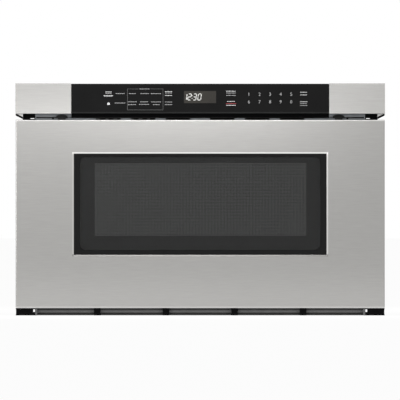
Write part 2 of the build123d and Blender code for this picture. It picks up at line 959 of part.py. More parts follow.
# Folded plates standing on the base: one under each end of the cross shaft, one for the motor.
ring_radius = bush_radius + bracket_ring
with BuildPart() as drive_brackets:
    with BuildSketch(shaft_plane(bracket_x)):
        area(-ring_radius, ring_radius, pan_top - shaft_level, 0)
        Circle(ring_radius)
        Circle(bush_radius, mode=Mode.SUBTRACT)
    extrude(amount=bracket_thick)
    with BuildSketch(Plane.XY.offset(pan_top)):
        area(bracket_x - bracket_foot, bracket_x, shaft_y - ring_radius, shaft_y + ring_radius)
    extrude(amount=bracket_thick)
    mirror(about=Plane.YZ)
    with BuildSketch(shaft_plane(motor_face, motor_y)):
        area(-motor_radius, motor_radius, pan_top - shaft_level, 0)
        Circle(motor_radius)
        Circle(motor_shaft + shaft_room, mode=Mode.SUBTRACT)
    extrude(amount=rail_sheet)
    with BuildSketch(Plane.XY.offset(pan_top)):
        area(
            motor_face - motor_foot,
            motor_face + rail_sheet,
            motor_y - motor_radius,
            motor_y + motor_radius,
        )
    extrude(amount=rail_sheet)
write(drive_brackets, "drive_brackets")

bush_in = bracket_x - (bush_length - bracket_thick) / 2
with BuildPart() as shaft_bushes:
    with BuildSketch(shaft_plane(bush_in)):
        Circle(bush_radius)
        Circle(shaft_radius + shaft_fit, mode=Mode.SUBTRACT)
    extrude(amount=bush_length)
    with BuildSketch(shaft_plane(bracket_x + bracket_thick)):
        Circle(bush_radius + bush_flange)
        Circle(shaft_radius + shaft_fit, mode=Mode.SUBTRACT)
    extrude(amount=bush_flange_thick)
    mirror(about=Plane.YZ)
write(shaft_bushes, "shaft_bushes")

# ==== chassis =====================================================================================
channel_y = frame_y - grille_set_back
pan_front = channel_y + toe_radius + clear
pan_half = case_half - sheet
pan_rear = rear_y - sheet
skid_front = pan_front + skid_end
skid_rear = pan_rear - skid_end

# Base pan: folded walls, pressed skids that the drawer stands on, air slots.
with BuildPart() as base_pan:
    with BuildSketch(Plane.XY.offset(pan_floor)):
        area(-pan_half, pan_half, pan_front, pan_rear)
    extrude(amount=pan_wall)
    with BuildSketch(Plane.XY.offset(pan_floor + sheet)):
        area(-pan_half + sheet, pan_half - sheet, pan_front + sheet, pan_rear - sheet)
    extrude(amount=pan_wall, mode=Mode.SUBTRACT)
    with BuildSketch(front_at(pan_front)):
        area(-pan_half, pan_half, grille_height, pan_floor + pan_wall)
    extrude(amount=-sheet, mode=Mode.SUBTRACT)
    with BuildSketch(Plane.XY):
        for x in (-skid_x, 0, skid_x):
            solid_area(x - skid_width / 2, x + skid_width / 2, skid_front, skid_rear, skid_round)
    extrude(amount=pan_floor)
    with BuildSketch(Plane.XY.offset(sheet)):
        for x in (-skid_x, 0, skid_x):
            solid_area(
                x - skid_width / 2 + sheet,
                x + skid_width / 2 - sheet,
                skid_front + sheet,
                skid_rear - sheet,
                skid_round - sheet,
            )
    extrude(amount=pan_floor, mode=Mode.SUBTRACT)
    with BuildSketch(Plane.XY.offset(pan_floor)):
        with Locations((-skid_x / 2, pan_slot_y), (skid_x / 2, pan_slot_y)):
            with GridLocations(pan_slot_length, pan_slot_pitch, 1, pan_slots):
                SlotOverall(pan_slot_length, vent_width)
    extrude(amount=sheet, mode=Mode.SUBTRACT)
write(base_pan, "base_pan")

# Case wrapped over the sides and top, with vent slots.
with BuildPart() as outer_case:
    with BuildSketch(front_at(frame_back)):
        area(-case_half, case_half, pan_floor, case_top)
        fillet(vertices().group_by(Axis.Y)[-1], case_bend)
    extrude(amount=-(rear_y - frame_back))
    with BuildSketch(front_at(frame_back)):
        area(-case_half + sheet, case_half - sheet, pan_floor - sheet, case_top - sheet)
        fillet(vertices().group_by(Axis.Y)[-1], case_bend - sheet)
    extrude(amount=-(rear_y - frame_back), mode=Mode.SUBTRACT)
    with BuildSketch(Plane.XY.offset(case_top)):
        with Locations((-case_half / 2, rear_y - vent_inset), (case_half / 2, rear_y - vent_inset)):
            with GridLocations(vent_pitch, top_vent_length, top_vents, 1):
                SlotOverall(top_vent_length, vent_width, rotation=90)
    extrude(amount=-2 * sheet, mode=Mode.SUBTRACT)
    with BuildSketch(side_at(0)):
        with Locations((rear_y - vent_inset, case_top - side_vent_drop)):
            with GridLocations(vent_pitch, side_vent_length, side_vents, 1):
                SlotOverall(side_vent_length, vent_width, rotation=90)
    extrude(amount=case_half + sheet, both=True, mode=Mode.SUBTRACT)
write(outer_case, "outer_case")

# Rear panel: fan inlet slots cut to a circle, the cord's hole and a row of outlet slots.
with BuildPart() as rear_panel:
    with BuildSketch(front_at(rear_y - sheet)):
        area(-pan_half, pan_half, pan_floor, case_top - sheet)
        fillet(vertices().group_by(Axis.Y)[-1], case_bend - sheet)
        with Locations((gland_x, gland_level)):
            Circle(gland_radius, mode=Mode.SUBTRACT)
        for row in range(inlet_rows):
            height = (row - (inlet_rows - 1) / 2) * vent_pitch
            chord = 2 * (fan_radius**2 - height**2) ** 0.5
            with Locations((fan_x, fan_level + height)):
                SlotOverall(chord, vent_width, mode=Mode.SUBTRACT)
        with Locations((-case_half / 2, case_top - rear_vent_drop)):
            with GridLocations(rear_vent_pitch, rear_vent_length, rear_vents, 1):
                SlotOverall(rear_vent_length, vent_width, rotation=90, mode=Mode.SUBTRACT)
    extrude(amount=-sheet)
write(rear_panel, "rear_panel")

with BuildPart() as cord_gland:
    with BuildSketch(front_at(rear_y - sheet)):
        with Locations((gland_x, gland_level)):
            Circle(gland_radius)
    extrude(amount=-(sheet + gland_lip))
    with BuildSketch(front_at(rear_y)):
        with Locations((gland_x, gland_level)):
            Circle(gland_radius + gland_flange)
    extrude(amount=-gland_lip)
    with BuildSketch(front_at(rear_y - sheet)):
        with Locations((gland_x, gland_level)):
            Circle(gland_radius + gland_inner_flange)
    extrude(amount=gland_lip)
    with BuildSketch(front_at(back_y)):
        with Locations((gland_x, gland_level)):
            Circle(gland_radius - gland_wall)
    extrude(amount=sheet + 2 * gland_lip, mode=Mode.SUBTRACT)
write(cord_gland, "cord_gland")

# Front frame: the sealing face round the cavity, hook slots, exhaust notches in its top edge.
with BuildPart() as front_frame:
    with BuildSketch(front_at(frame_y)):
        area(-case_half, case_half, frame_bottom, frame_top)
        for x in sides(hook_x):
            area(
                x - hook_thick / 2 - hook_gap,
                x + hook_thick / 2 + hook_gap,
                hook_foot - hook_gap,
                hook_top + hook_gap,
                mode=Mode.SUBTRACT,
            )
        for k in range(notch_count):
            for x in sides(notch_first + k * notch_pitch):
                area(
                    x - notch_width / 2,
                    x + notch_width / 2,
                    frame_top - notch_depth,
                    frame_top,
                    mode=Mode.SUBTRACT,
                )
    extrude(amount=-frame_thick)
    with BuildSketch(front_at(frame_y)):
        trough_area(-cavity_half, cavity_half, cavity_floor, cavity_top, cavity_round)
    extrude(amount=-frame_thick, mode=Mode.SUBTRACT)
write(front_frame, "front_frame")

# Panel below the frame, notched for the rails and slides.
with BuildPart() as lower_front_panel:
    with BuildSketch(front_at(frame_y)):
        area(-case_half, case_half, front_bottom, frame_bottom)
        for end in (-1, 1):
            near = end * window_in
            far = end * window_out
            area(min(near, far), max(near, far), window_low, frame_bottom, mode=Mode.SUBTRACT)
    extrude(amount=-frame_thick)
write(lower_front_panel, "lower_front_panel")

# Angles down both sides of the case that lie on the cabinet and take its screws.
with BuildPart() as side_flanges:
    with BuildSketch(front_at(frame_y)):
        area(case_half, flange_reach, front_bottom, panel_bottom)
        area(
            case_half + flange_thick,
            case_half + flange_thick + flange_slot_width,
            front_top + flange_slot_rise,
            front_top + flange_slot_rise + flange_slot_height,
            mode=Mode.SUBTRACT,
        )
        for level in (flange_screw_low, panel_bottom - flange_screw_drop):
            with Locations((flange_reach - flange_hole_edge, level)):
                Circle(flange_hole / 2, mode=Mode.SUBTRACT)
    extrude(amount=-flange_thick)
    with BuildSketch(front_at(frame_y + flange_thick)):
        area(case_half, case_half + flange_thick, front_bottom, panel_bottom)
    extrude(amount=-(flange_leg - flange_thick))
    mirror(about=Plane.YZ)
write(side_flanges, "side_flanges")

# Oval rubber pads, each with a tongue below it that the shut drawer rests against.
with BuildPart() as frame_bumpers:
    with BuildSketch(front_at(frame_y)):
        for x, z in (
            (case_half - bumper_inset, frame_top + bumper_rise),
            (case_half - bumper_low_inset, bumper_low_level),
        ):
            with Locations((x, z)):
                Ellipse(bumper_width / 2, bumper_height / 2)
            area(x - bumper_tongue / 2, x + bumper_tongue / 2, z - bumper_tongue_drop, z)
    extrude(amount=frame_y - pan_back_y - clear)
    fillet(frame_bumpers.faces().sort_by(Axis.Y)[0].edges(), bumper_edge)
    mirror(about=Plane.YZ)
write(frame_bumpers, "frame_bumpers")

# Black grille under the drawer: four ribs, and end blocks with a hollow outer end and a see-through slot.
grille_start = case_half - grille_lap
with BuildPart() as lower_grille:
    with BuildSketch(front_at(channel_y)):
        for end in (-1, 1):
            near = end * grille_start
            outer = end * (grille_end - grille_block)
            inner = outer - end * grille_slot
            far = end * grille_end
            area(min(near, far), max(near, far), 0, grille_height)
            area(
                min(inner, outer),
                max(inner, outer),
                grille_slot_low,
                grille_slot_high,
                mode=Mode.SUBTRACT,
            )
            hollow = (grille_height**2 / 4 + grille_waist**2) / (2 * grille_waist)
            with Locations((far + end * (hollow - grille_waist), grille_height / 2)):
                Circle(hollow, mode=Mode.SUBTRACT)
        for k in range(grille_ribs):
            x = (k - (grille_ribs - 1) / 2) * grille_rib_pitch
            area(x - grille_rib / 2, x + grille_rib / 2, 0, grille_height)
    extrude(amount=grille_depth)
write(lower_grille, "lower_grille")

# Half-round steel channel behind the grille.
with BuildPart() as toe_channel:
    with BuildSketch(side_at(-pan_half + clear)):
        with Locations((channel_y, grille_height / 2)):
            Circle(toe_radius)
            Circle(toe_radius - sheet, mode=Mode.SUBTRACT)
        area(channel_y - toe_radius, channel_y, 0, grille_height, mode=Mode.SUBTRACT)
    extrude(amount=2 * (pan_half - clear))
write(toe_channel, "toe_channel")

# ==== cavity ======================================================================================
# Floor and sides in one bent sheet, with the lamp window in the right side.
with BuildPart() as cavity_wrap:
    with BuildSketch(front_at(frame_back)):
        trough_area(
            -cavity_half - sheet,
            cavity_half + sheet,
            cavity_floor - sheet,
            cavity_top,
            cavity_round + sheet,
        )
    extrude(amount=-(cavity_back - frame_back))
    with BuildSketch(front_at(frame_back)):
        trough_area(-cavity_half, cavity_half, cavity_floor, cavity_top + sheet, cavity_round)
    extrude(amount=-(cavity_back - frame_back), mode=Mode.SUBTRACT)
    with BuildSketch(side_at(cavity_half)):
        with Locations((lamp_y, lamp_level)):
            Circle(lamp_radius)
    extrude(amount=sheet, mode=Mode.SUBTRACT)
write(cavity_wrap, "cavity_wrap")

# Ceiling and rear wall, one sheet bent down at the back.
with BuildPart() as cavity_cover:
    with BuildSketch(Plane.XY.offset(cavity_top)):
        area(-cavity_half - sheet, cavity_half + sheet, frame_back, cavity_back + sheet)
        with Locations((0, stirrer_y)):
            Circle(stirrer_width / 2, mode=Mode.SUBTRACT)
    extrude(amount=sheet)
    with BuildSketch(front_at(cavity_back)):
        trough_area(
            -cavity_half - sheet,
            cavity_half + sheet,
            cavity_floor - sheet,
            cavity_top,
            cavity_round + sheet,
        )
    extrude(amount=-sheet)
write(cavity_cover, "cavity_cover")

# Disc that keeps food vapour out of the stirrer space, under the ceiling.
with BuildPart() as stirrer_cover:
    with BuildSketch(Plane.XY.offset(cavity_top)):
        with Locations((0, stirrer_y)):
            Circle(stirrer_width / 2 + stirrer_cover_lap)
    extrude(amount=-cover_thick)
write(stirrer_cover, "stirrer_cover")

with BuildPart() as cavity_lamp:
    with BuildSketch(side_at(cavity_half + sheet)):
        with Locations((lamp_y, lamp_level)):
            RectangleRounded(lamp_box, lamp_box, lamp_round)
    extrude(amount=lamp_length)
    with BuildSketch(side_at(cavity_half + sheet)):
        with Locations((lamp_y, lamp_level)):
            Circle(lamp_radius + lamp_rim)
    extrude(amount=lamp_length - sheet, mode=Mode.SUBTRACT)
    with BuildSketch(side_at(cavity_half + sheet + lamp_base)):
        with Locations((lamp_y, lamp_level)):
            Circle(lamp_radius - bulb_gap)
    extrude(amount=lamp_length - lamp_base)
write(cavity_lamp, "cavity_lamp")

# ==== microwave parts =============================================================================
# Round stirrer box on the ceiling with the guide running back over the cavity's rear edge.
guide_top = guide_floor + guide_height
stirrer_round = stirrer_width / 2 + sheet
guide_front = stirrer_y - guide_half
guide_back = magnetron_y + guide_tail
with BuildPart() as waveguide:
    with BuildSketch(Plane.XY.offset(cavity_top + sheet)):
        with Locations((0, stirrer_y)):
            Circle(stirrer_round)
    extrude(amount=stirrer_box_height)
    with BuildSketch(Plane.XY.offset(guide_floor)):
        area(-guide_half - sheet, guide_half + sheet, guide_front, guide_back)
    extrude(amount=guide_height + sheet)
    with BuildSketch(Plane.XY.offset(cavity_top + sheet)):
        with Locations((0, stirrer_y)):
            Circle(stirrer_width / 2)
    extrude(amount=stirrer_box_height - sheet, mode=Mode.SUBTRACT)
    with BuildSketch(Plane.XY.offset(guide_floor + sheet)):
        area(-guide_half, guide_half, guide_front + sheet, guide_back - sheet)
    extrude(amount=guide_height - sheet, mode=Mode.SUBTRACT)
    with BuildSketch(Plane.XY.offset(guide_floor - 2 * sheet)):
        with Locations((0, stirrer_y)):
            Circle(guide_port)
    extrude(amount=4 * sheet, mode=Mode.SUBTRACT)
    with BuildSketch(Plane.XY.offset(guide_floor)):
        with Locations((0, magnetron_y)):
            Circle(antenna_radius + antenna_gap)
    extrude(amount=2 * sheet, mode=Mode.SUBTRACT)
    with BuildSketch(Plane.XY.offset(guide_top)):
        with Locations((0, stirrer_y)):
            Circle(stirrer_shaft + shaft_room)
    extrude(amount=2 * sheet, mode=Mode.SUBTRACT)
write(waveguide, "waveguide")

# Magnetron: open steel yoke, round anode with cooling fins, antenna up into the guide.
yoke_top = guide_floor
yoke_low = yoke_top - magnetron_height
fin_pitch = (magnetron_height - 2 * yoke_sheet) / (magnetron_fins + 1)
with BuildPart() as magnetron_yoke:
    with BuildSketch(front_at(magnetron_y - magnetron_depth / 2)):
        area(-magnetron_width / 2, magnetron_width / 2, yoke_low, yoke_top)
        area(
            -magnetron_width / 2 + yoke_sheet,
            magnetron_width / 2 - yoke_sheet,
            yoke_low + yoke_sheet,
            yoke_top - yoke_sheet,
            mode=Mode.SUBTRACT,
        )
    extrude(amount=-magnetron_depth)
    with BuildSketch(Plane.XY.offset(yoke_top - yoke_sheet)):
        with Locations((0, magnetron_y)):
            Circle(antenna_radius)
    extrude(amount=yoke_sheet, mode=Mode.SUBTRACT)
write(magnetron_yoke, "magnetron_yoke")

with BuildPart() as magnetron_anode:
    with BuildSketch(Plane.XY.offset(yoke_low + yoke_sheet)):
        with Locations((0, magnetron_y)):
            Circle(anode_radius)
    extrude(amount=magnetron_height - 2 * yoke_sheet)
    for k in range(magnetron_fins):
        with BuildSketch(Plane.XY.offset(yoke_low + yoke_sheet + (k + 1) * fin_pitch)):
            area(
                -magnetron_width / 2 + yoke_sheet,
                magnetron_width / 2 - yoke_sheet,
                magnetron_y - magnetron_depth / 2 + magnetron_fin_inset,
                magnetron_y + magnetron_depth / 2 - magnetron_fin_inset,
            )
        extrude(amount=magnetron_fin)
    with BuildSketch(Plane.XY.offset(yoke_top - yoke_sheet)):
        with Locations((0, magnetron_y)):
            Circle(antenna_radius - clear)
    extrude(amount=antenna_length)
    fillet(magnetron_anode.faces().sort_by(Axis.Z)[-1].edges(), antenna_round)
write(magnetron_anode, "magnetron_anode")

with BuildPart() as stirrer_motor:
    with BuildSketch(Plane.XY.offset(guide_top + sheet)):
        with Locations((0, stirrer_y)):
            Circle(stirrer_motor_radius)
        for x in sides(stirrer_motor_radius):
            area(
                x - motor_ear_width / 2,
                x + motor_ear_width / 2,
                stirrer_y - motor_ear_depth / 2,
                stirrer_y + motor_ear_depth / 2,
            )
    extrude(amount=stirrer_motor_step)
    with BuildSketch(Plane.XY.offset(guide_top + sheet)):
        with Locations((0, stirrer_y)):
            Circle(stirrer_motor_radius - stirrer_motor_step)
    extrude(amount=stirrer_motor_height)
    with BuildSketch(Plane.XY.offset(guide_top + sheet)):
        with Locations((0, stirrer_y)):
            Circle(stirrer_shaft + clear)
    extrude(amount=stirrer_motor_height / 2, mode=Mode.SUBTRACT)
write(stirrer_motor, "stirrer_motor")

# Stirrer: hub on a long shaft with four bent vanes.
blade_level = cavity_top + sheet + stirrer_lift
vane_tip = stirrer_width / 2 - vane_tip_gap
lip_tip = stirrer_width / 2 - vane_lip_gap
with BuildPart() as stirrer_blade:
    with BuildSketch(Plane.XY.offset(blade_level)):
        with Locations((0, stirrer_y)):
            Circle(stirrer_shaft)
    extrude(amount=guide_top + sheet + stirrer_motor_height / 2 - clear - blade_level)
    with BuildSketch(Plane.XY.offset(blade_level)):
        with Locations((0, stirrer_y)):
            Circle(stirrer_hub)
            with PolarLocations((vane_root + vane_tip) / 2, vane_count):
                Rectangle(vane_tip - vane_root, vane_width)
    extrude(amount=vane_thick)
    with BuildSketch(Plane.XY.offset(blade_level)):
        with Locations((0, stirrer_y)):
            with PolarLocations((vane_lip_root + lip_tip) / 2, vane_count):
                with Locations((0, (vane_width - vane_lip_thick) / 2)):
                    Rectangle(lip_tip - vane_lip_root, vane_lip_thick)
    extrude(amount=vane_lip_height)
write(stirrer_blade, "stirrer_blade")

# Transformer: laminated core with two windows, and the primary and secondary coils on its middle leg.
window_level = pan_top + core_yoke
with BuildPart() as transformer_core:
    with BuildSketch(front_at(transformer_y - core_depth / 2)):
        area(transformer_x - core_width / 2, transformer_x + core_width / 2, pan_top, pan_top + core_height)
        for end in (-1, 1):
            middle = transformer_x + end * (core_leg / 2 + core_window / 2)
            area(
                middle - core_window / 2,
                middle + core_window / 2,
                window_level,
                pan_top + core_height - core_yoke,
                mode=Mode.SUBTRACT,
            )
    extrude(amount=-core_depth)
write(transformer_core, "transformer_core")

coil_height = (core_height - 2 * core_yoke - 3 * coil_gap) / 2
with BuildPart() as transformer_coils:
    for k in range(2):
        with BuildSketch(Plane.XY.offset(window_level + coil_gap + k * (coil_height + coil_gap))):
            with Locations((transformer_x, transformer_y)):
                RectangleRounded(
                    core_leg + 2 * core_window - 2 * coil_gap,
                    core_depth + 2 * core_window - 2 * coil_gap,
                    core_window - 2 * coil_gap,
                )
                Rectangle(core_leg, core_depth, mode=Mode.SUBTRACT)
        extrude(amount=coil_height)
write(transformer_coils, "transformer_coils")

with BuildPart() as hv_capacitor:
    with BuildSketch(Plane.XY.offset(pan_top)):
        with Locations((capacitor_x, capacitor_y)):
            SlotOverall(capacitor_width, capacitor_depth)
    extrude(amount=capacitor_height)
    fillet(hv_capacitor.faces().sort_by(Axis.Z)[-1].edges(), capacitor_round)
    with BuildSketch(Plane.XY.offset(pan_top + capacitor_height)):
        with Locations((capacitor_x - tab_offset, capacitor_y), (capacitor_x + tab_offset, capacitor_y)):
            Rectangle(tab_thick, tab_width)
    extrude(amount=tab_height)
write(hv_capacitor, "hv_capacitor")

# Board of the line filter, on four posts off the rear panel.
with BuildPart() as filter_board:
    with BuildSketch(front_at(rear_y - sheet - board - filter_post)):
        with Locations((filter_x, filter_level)):
            Rectangle(filter_width, filter_height)
    extrude(amount=-board)
    with BuildSketch(front_at(rear_y - sheet - filter_post)):
        with Locations((filter_x, filter_level)):
            with GridLocations(
                filter_width - 2 * filter_post_inset, filter_height - 2 * filter_post_inset, 2, 2
            ):
                Circle(filter_post_radius)
    extrude(amount=-filter_post)
    with BuildSketch(front_at(rear_y - sheet - board - filter_post)):
        with Locations((filter_x - filter_coil_offset, filter_level)):
            RectangleRounded(filter_coil_width, filter_coil_height, filter_coil_round)
        with Locations((filter_x + filter_block_offset, filter_level)):
            Rectangle(filter_block_width, filter_block_height)
    extrude(amount=filter_part_depth)
write(filter_board, "filter_board")

# ==== fan =========================================================================================
fan_plate = rear_y - sheet - fan_plate_gap


def fan_sketch(y):
    """Sketch plane facing the viewer, measured from the fan's centre."""
    return Plane(origin=(fan_x, y, fan_level), x_dir=(1, 0, 0), z_dir=(0, -1, 0))


# Shroud: square plate, round duct back to the rear panel, cross bar for the motor.
with BuildPart() as fan_shroud:
    with BuildSketch(fan_sketch(fan_plate)):
        RectangleRounded(fan_square, fan_square, shroud_round)
        Circle(fan_radius + fan_gap, mode=Mode.SUBTRACT)
    extrude(amount=-shroud_wall)
    with BuildSketch(fan_sketch(fan_plate)):
        Circle(fan_radius + fan_gap + shroud_wall)
        Circle(fan_radius + fan_gap, mode=Mode.SUBTRACT)
    extrude(amount=-fan_plate_gap)
    with BuildSketch(fan_sketch(fan_plate)):
        Rectangle(2 * (fan_radius + fan_gap) + shroud_wall, shroud_bar)
        Circle(fan_shaft + shaft_room, mode=Mode.SUBTRACT)
    extrude(amount=-shroud_wall)
write(fan_shroud, "fan_shroud")

with BuildPart() as fan_motor:
    with BuildSketch(fan_sketch(fan_plate)):
        RectangleRounded(fan_motor_width, fan_motor_height, fan_motor_round)
    extrude(amount=fan_motor_depth)
    with BuildSketch(fan_sketch(fan_plate)):
        with Locations((0, -fan_coil_drop)):
            RectangleRounded(fan_coil_width, fan_coil_height, fan_coil_round)
    extrude(amount=fan_coil_depth)
    with BuildSketch(fan_sketch(fan_plate)):
        Circle(fan_shaft + clear)
    extrude(amount=fan_motor_depth, mode=Mode.SUBTRACT)
write(fan_motor, "fan_motor")

# Axial fan: cup hub on its shaft and seven blades, each lofted from a steep root to a flatter tip.
blade_middle = fan_plate + shroud_wall + fan_stand_off + fan_hub_length / 2
with BuildPart() as fan_blade:
    with BuildSketch(fan_sketch(blade_middle + fan_hub_length / 2)):
        Circle(fan_hub)
    extrude(amount=fan_hub_length)
    with BuildSketch(fan_sketch(fan_plate + shroud_wall + fan_stand_off)):
        Circle(fan_shaft)
    extrude(amount=shroud_wall + fan_stand_off + fan_motor_depth - fan_shaft_end)
    for k in range(fan_blades):
        turn = 360 / fan_blades * k
        out = (cos(radians(turn)), 0, sin(radians(turn)))
        for_root = Plane(origin=(fan_x, blade_middle, fan_level), x_dir=(0, 1, 0), z_dir=out)
        with BuildSketch(for_root.offset(fan_hub - fan_root_sink)):
            Rectangle(fan_root_chord, fan_root_thick, rotation=fan_root_pitch)
        with BuildSketch(for_root.offset(fan_radius)):
            Rectangle(fan_tip_chord, fan_tip_thick, rotation=fan_tip_pitch)
        loft(ruled=True)
write(fan_blade, "fan_blade")

# Flat duct from the space over the cavity to the exhaust notches.
duct_half = touch_half - duct_gap
with BuildPart() as exhaust_duct:
    with BuildSketch(front_at(frame_back)):
        area(-duct_half, duct_half, frame_top - notch_depth - sheet, frame_top)
        area(
            -duct_half + sheet,
            duct_half - sheet,
            frame_top - notch_depth,
            frame_top - sheet,
            mode=Mode.SUBTRACT,
        )
    extrude(amount=-duct_length)
    with BuildSketch(front_at(frame_back)):
        for end in (-1, 1):
            for k in range(notch_count - 1):
                x = end * (notch_first + (k + 0.5) * notch_pitch)
                area(x - sheet / 2, x + sheet / 2, frame_top - notch_depth, frame_top - sheet)
    extrude(amount=-duct_length)
write(exhaust_duct, "exhaust_duct")

# ==== interlocks ==================================================================================
switch_y = hook_end + switch_gap
switch_plate = switch_inner + 2 * switch_flange - sheet
plate_low = hook_level - switch_plate_height / 2
plate_high = hook_level + switch_plate_height / 2
with BuildPart() as switch_brackets:
    with BuildSketch(front_at(frame_back)):
        area(switch_inner, switch_plate + sheet, plate_low, plate_high)
    extrude(amount=-sheet)
    with BuildSketch(front_at(frame_back)):
        area(switch_plate, switch_plate + sheet, plate_low, plate_high)
    extrude(amount=-(switch_y - frame_back + switch_plate_depth))
    mirror(about=Plane.YZ)
write(switch_brackets, "switch_brackets")

with BuildPart() as interlock_switches:
    for level in (hook_level - switch_pitch / 2, hook_level + switch_pitch / 2):
        with BuildSketch(side_at(switch_plate)):
            with Locations((switch_y + switch_length / 2, level)):
                RectangleRounded(switch_length, switch_height, switch_round)
        extrude(amount=-switch_thick)
        with BuildSketch(side_at(switch_plate - plunger_inset)):
            with Locations((switch_y - plunger_reach + plunger / 2, level)):
                Rectangle(plunger, plunger)
        extrude(amount=-(switch_thick - 2 * plunger_inset))
    mirror(about=Plane.YZ)
write(interlock_switches, "interlock_switches")

# ==== control panel ===============================================================================
tilt = radians(panel_tilt)
slope = (overall_height - panel_bottom) / cos(tilt)
panel_face = Plane(
    origin=(0, front_y, panel_bottom), x_dir=(1, 0, 0), z_dir=(0, -cos(tilt), sin(tilt))
)


def panel_at(depth):
    """Sketch plane along the tilted panel, this far under its face: sketch (x, up the slope)."""
    return panel_face.offset(-depth)


def behind(depth, up):
    """Side view place (y, z) of a point under the panel face."""
    return (
        front_y + up * sin(tilt) + depth * cos(tilt),
        panel_bottom + up * cos(tilt) - depth * sin(tilt),
    )


with BuildPart() as panel_glass:
    with BuildSketch(panel_at(0)):
        area(-touch_half, touch_half, touch_edge, slope - touch_edge)
    extrude(amount=-touch_glass)
    chamfer(panel_glass.faces().sort_by(Axis.Y)[0].edges(), touch_chamfer)
write(panel_glass, "panel_glass")

# Stainless end trims: tilted face with returns at the top, bottom and outer end.
with BuildPart() as panel_end_trims:
    with BuildSketch(panel_at(0)):
        area(touch_half + trim_gap, panel_half, 0, slope)
    extrude(amount=-trim_return)
    with BuildSketch(panel_at(trim_sheet)):
        area(touch_half + trim_gap, panel_half - trim_sheet, trim_sheet, slope - trim_sheet)
    extrude(amount=-trim_return, mode=Mode.SUBTRACT)
    with BuildSketch(panel_at(trim_foot)):
        area(touch_half, panel_half - trim_sheet, -trim_sheet, trim_sheet)
    extrude(amount=-trim_return, mode=Mode.SUBTRACT)
    mirror(about=Plane.YZ)
write(panel_end_trims, "panel_end_trims")

# Black housing behind the glass and trims: hollow, with raised pads under the trims, a skirt down
# to the frame and a slanted wing under each end.
housing_half = panel_half - trim_sheet
low = trim_sheet
high = slope - trim_sheet
floor_front = behind(touch_glass + housing_ledge, low)[0]
with BuildPart() as panel_housing:
    with BuildSketch(side_at(-housing_half)):
        with BuildLine():
            Polyline(
                behind(touch_glass, low),
                behind(touch_glass, high),
                behind(trim_return + clear, high),
                (frame_y, behind(trim_return + clear, high)[1]),
                (frame_y, panel_bottom),
                (floor_front, panel_bottom),
                close=True,
            )
        make_face()
    extrude(amount=2 * housing_half)
    with BuildSketch(side_at(-housing_half + housing_wall)):
        with BuildLine():
            Polyline(
                behind(0, low + housing_wall),
                behind(0, high - housing_wall),
                behind(trim_return + clear, high - housing_wall),
                (frame_y - housing_wall, behind(trim_return + clear, high - housing_wall)[1]),
                (frame_y - housing_wall, panel_bottom + housing_wall),
                (floor_front, panel_bottom + housing_wall),
                close=True,
            )
        make_face()
    extrude(amount=2 * (housing_half - housing_wall), mode=Mode.SUBTRACT)
    with BuildSketch(panel_at(trim_sheet)):
        for end in (-1, 1):
            near = end * (touch_half + trim_gap + pad_gap)
            far = end * housing_half
            area(min(near, far), max(near, far), low, high)
    extrude(amount=-(touch_glass - trim_sheet))
    with BuildSketch(front_at(frame_y)):
        area(-touch_half, touch_half, frame_top + clear, panel_bottom + housing_wall)
    extrude(amount=-housing_wall)
    with BuildSketch(front_at(frame_y)):
        area(-touch_half, touch_half, panel_bottom, panel_bottom + housing_wall)
    extrude(amount=housing_wall)
    with BuildSketch(front_at(floor_front)):
        for end in (-1, 1):
            with BuildLine():
                Polyline(
                    (end * housing_half, panel_bottom + wing_root),
                    (end * flange_reach, panel_bottom - wing_drop),
                    (end * flange_reach, panel_bottom - wing_drop - wing_thick),
                    (end * housing_half, panel_bottom - wing_tip),
                    close=True,
                )
            make_face()
    extrude(amount=-wing_depth)
write(panel_housing, "panel_housing")

board_foot = (housing_wall + (board_depth + board) * sin(tilt)) / cos(tilt)
with BuildPart() as control_board:
    with BuildSketch(panel_at(board_depth)):
        area(-touch_half + board_inset, touch_half - board_inset, board_foot, high - housing_wall)
    extrude(amount=-board)
write(control_board, "control_board")

with BuildPart() as display_module:
    with BuildSketch(panel_at(touch_glass)):
        with Locations((0, (display_rise + display_height / 2) / cos(tilt))):
            Rectangle(display_width, display_height)
    extrude(amount=-(board_depth - touch_glass))
write(display_module, "display_module")

# Steel plates beside the duct that hold the housing up on the case front.
with BuildPart() as panel_brackets:
    with BuildSketch(front_at(frame_y)):
        area(touch_half + clear, case_half, frame_top + bracket_line, case_top - panel_bracket_drop)
    extrude(amount=-frame_thick)
    mirror(about=Plane.YZ)
write(panel_brackets, "panel_brackets")
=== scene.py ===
# %% [markdown]
# # A microwave drawer, dressed in Blender
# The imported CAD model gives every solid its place. This script adds what the solids lack: finishes,
# printed marks, the perforated screen, small trim and screws, and then the light and the camera.
# Everything is in metres, with the front facing -Y and the floor at z = 0. Flat colours would be quicker,
# but steel, enamel, glass and plastic would then look alike.

# %% Load the frame
import json
import math
from functools import partial

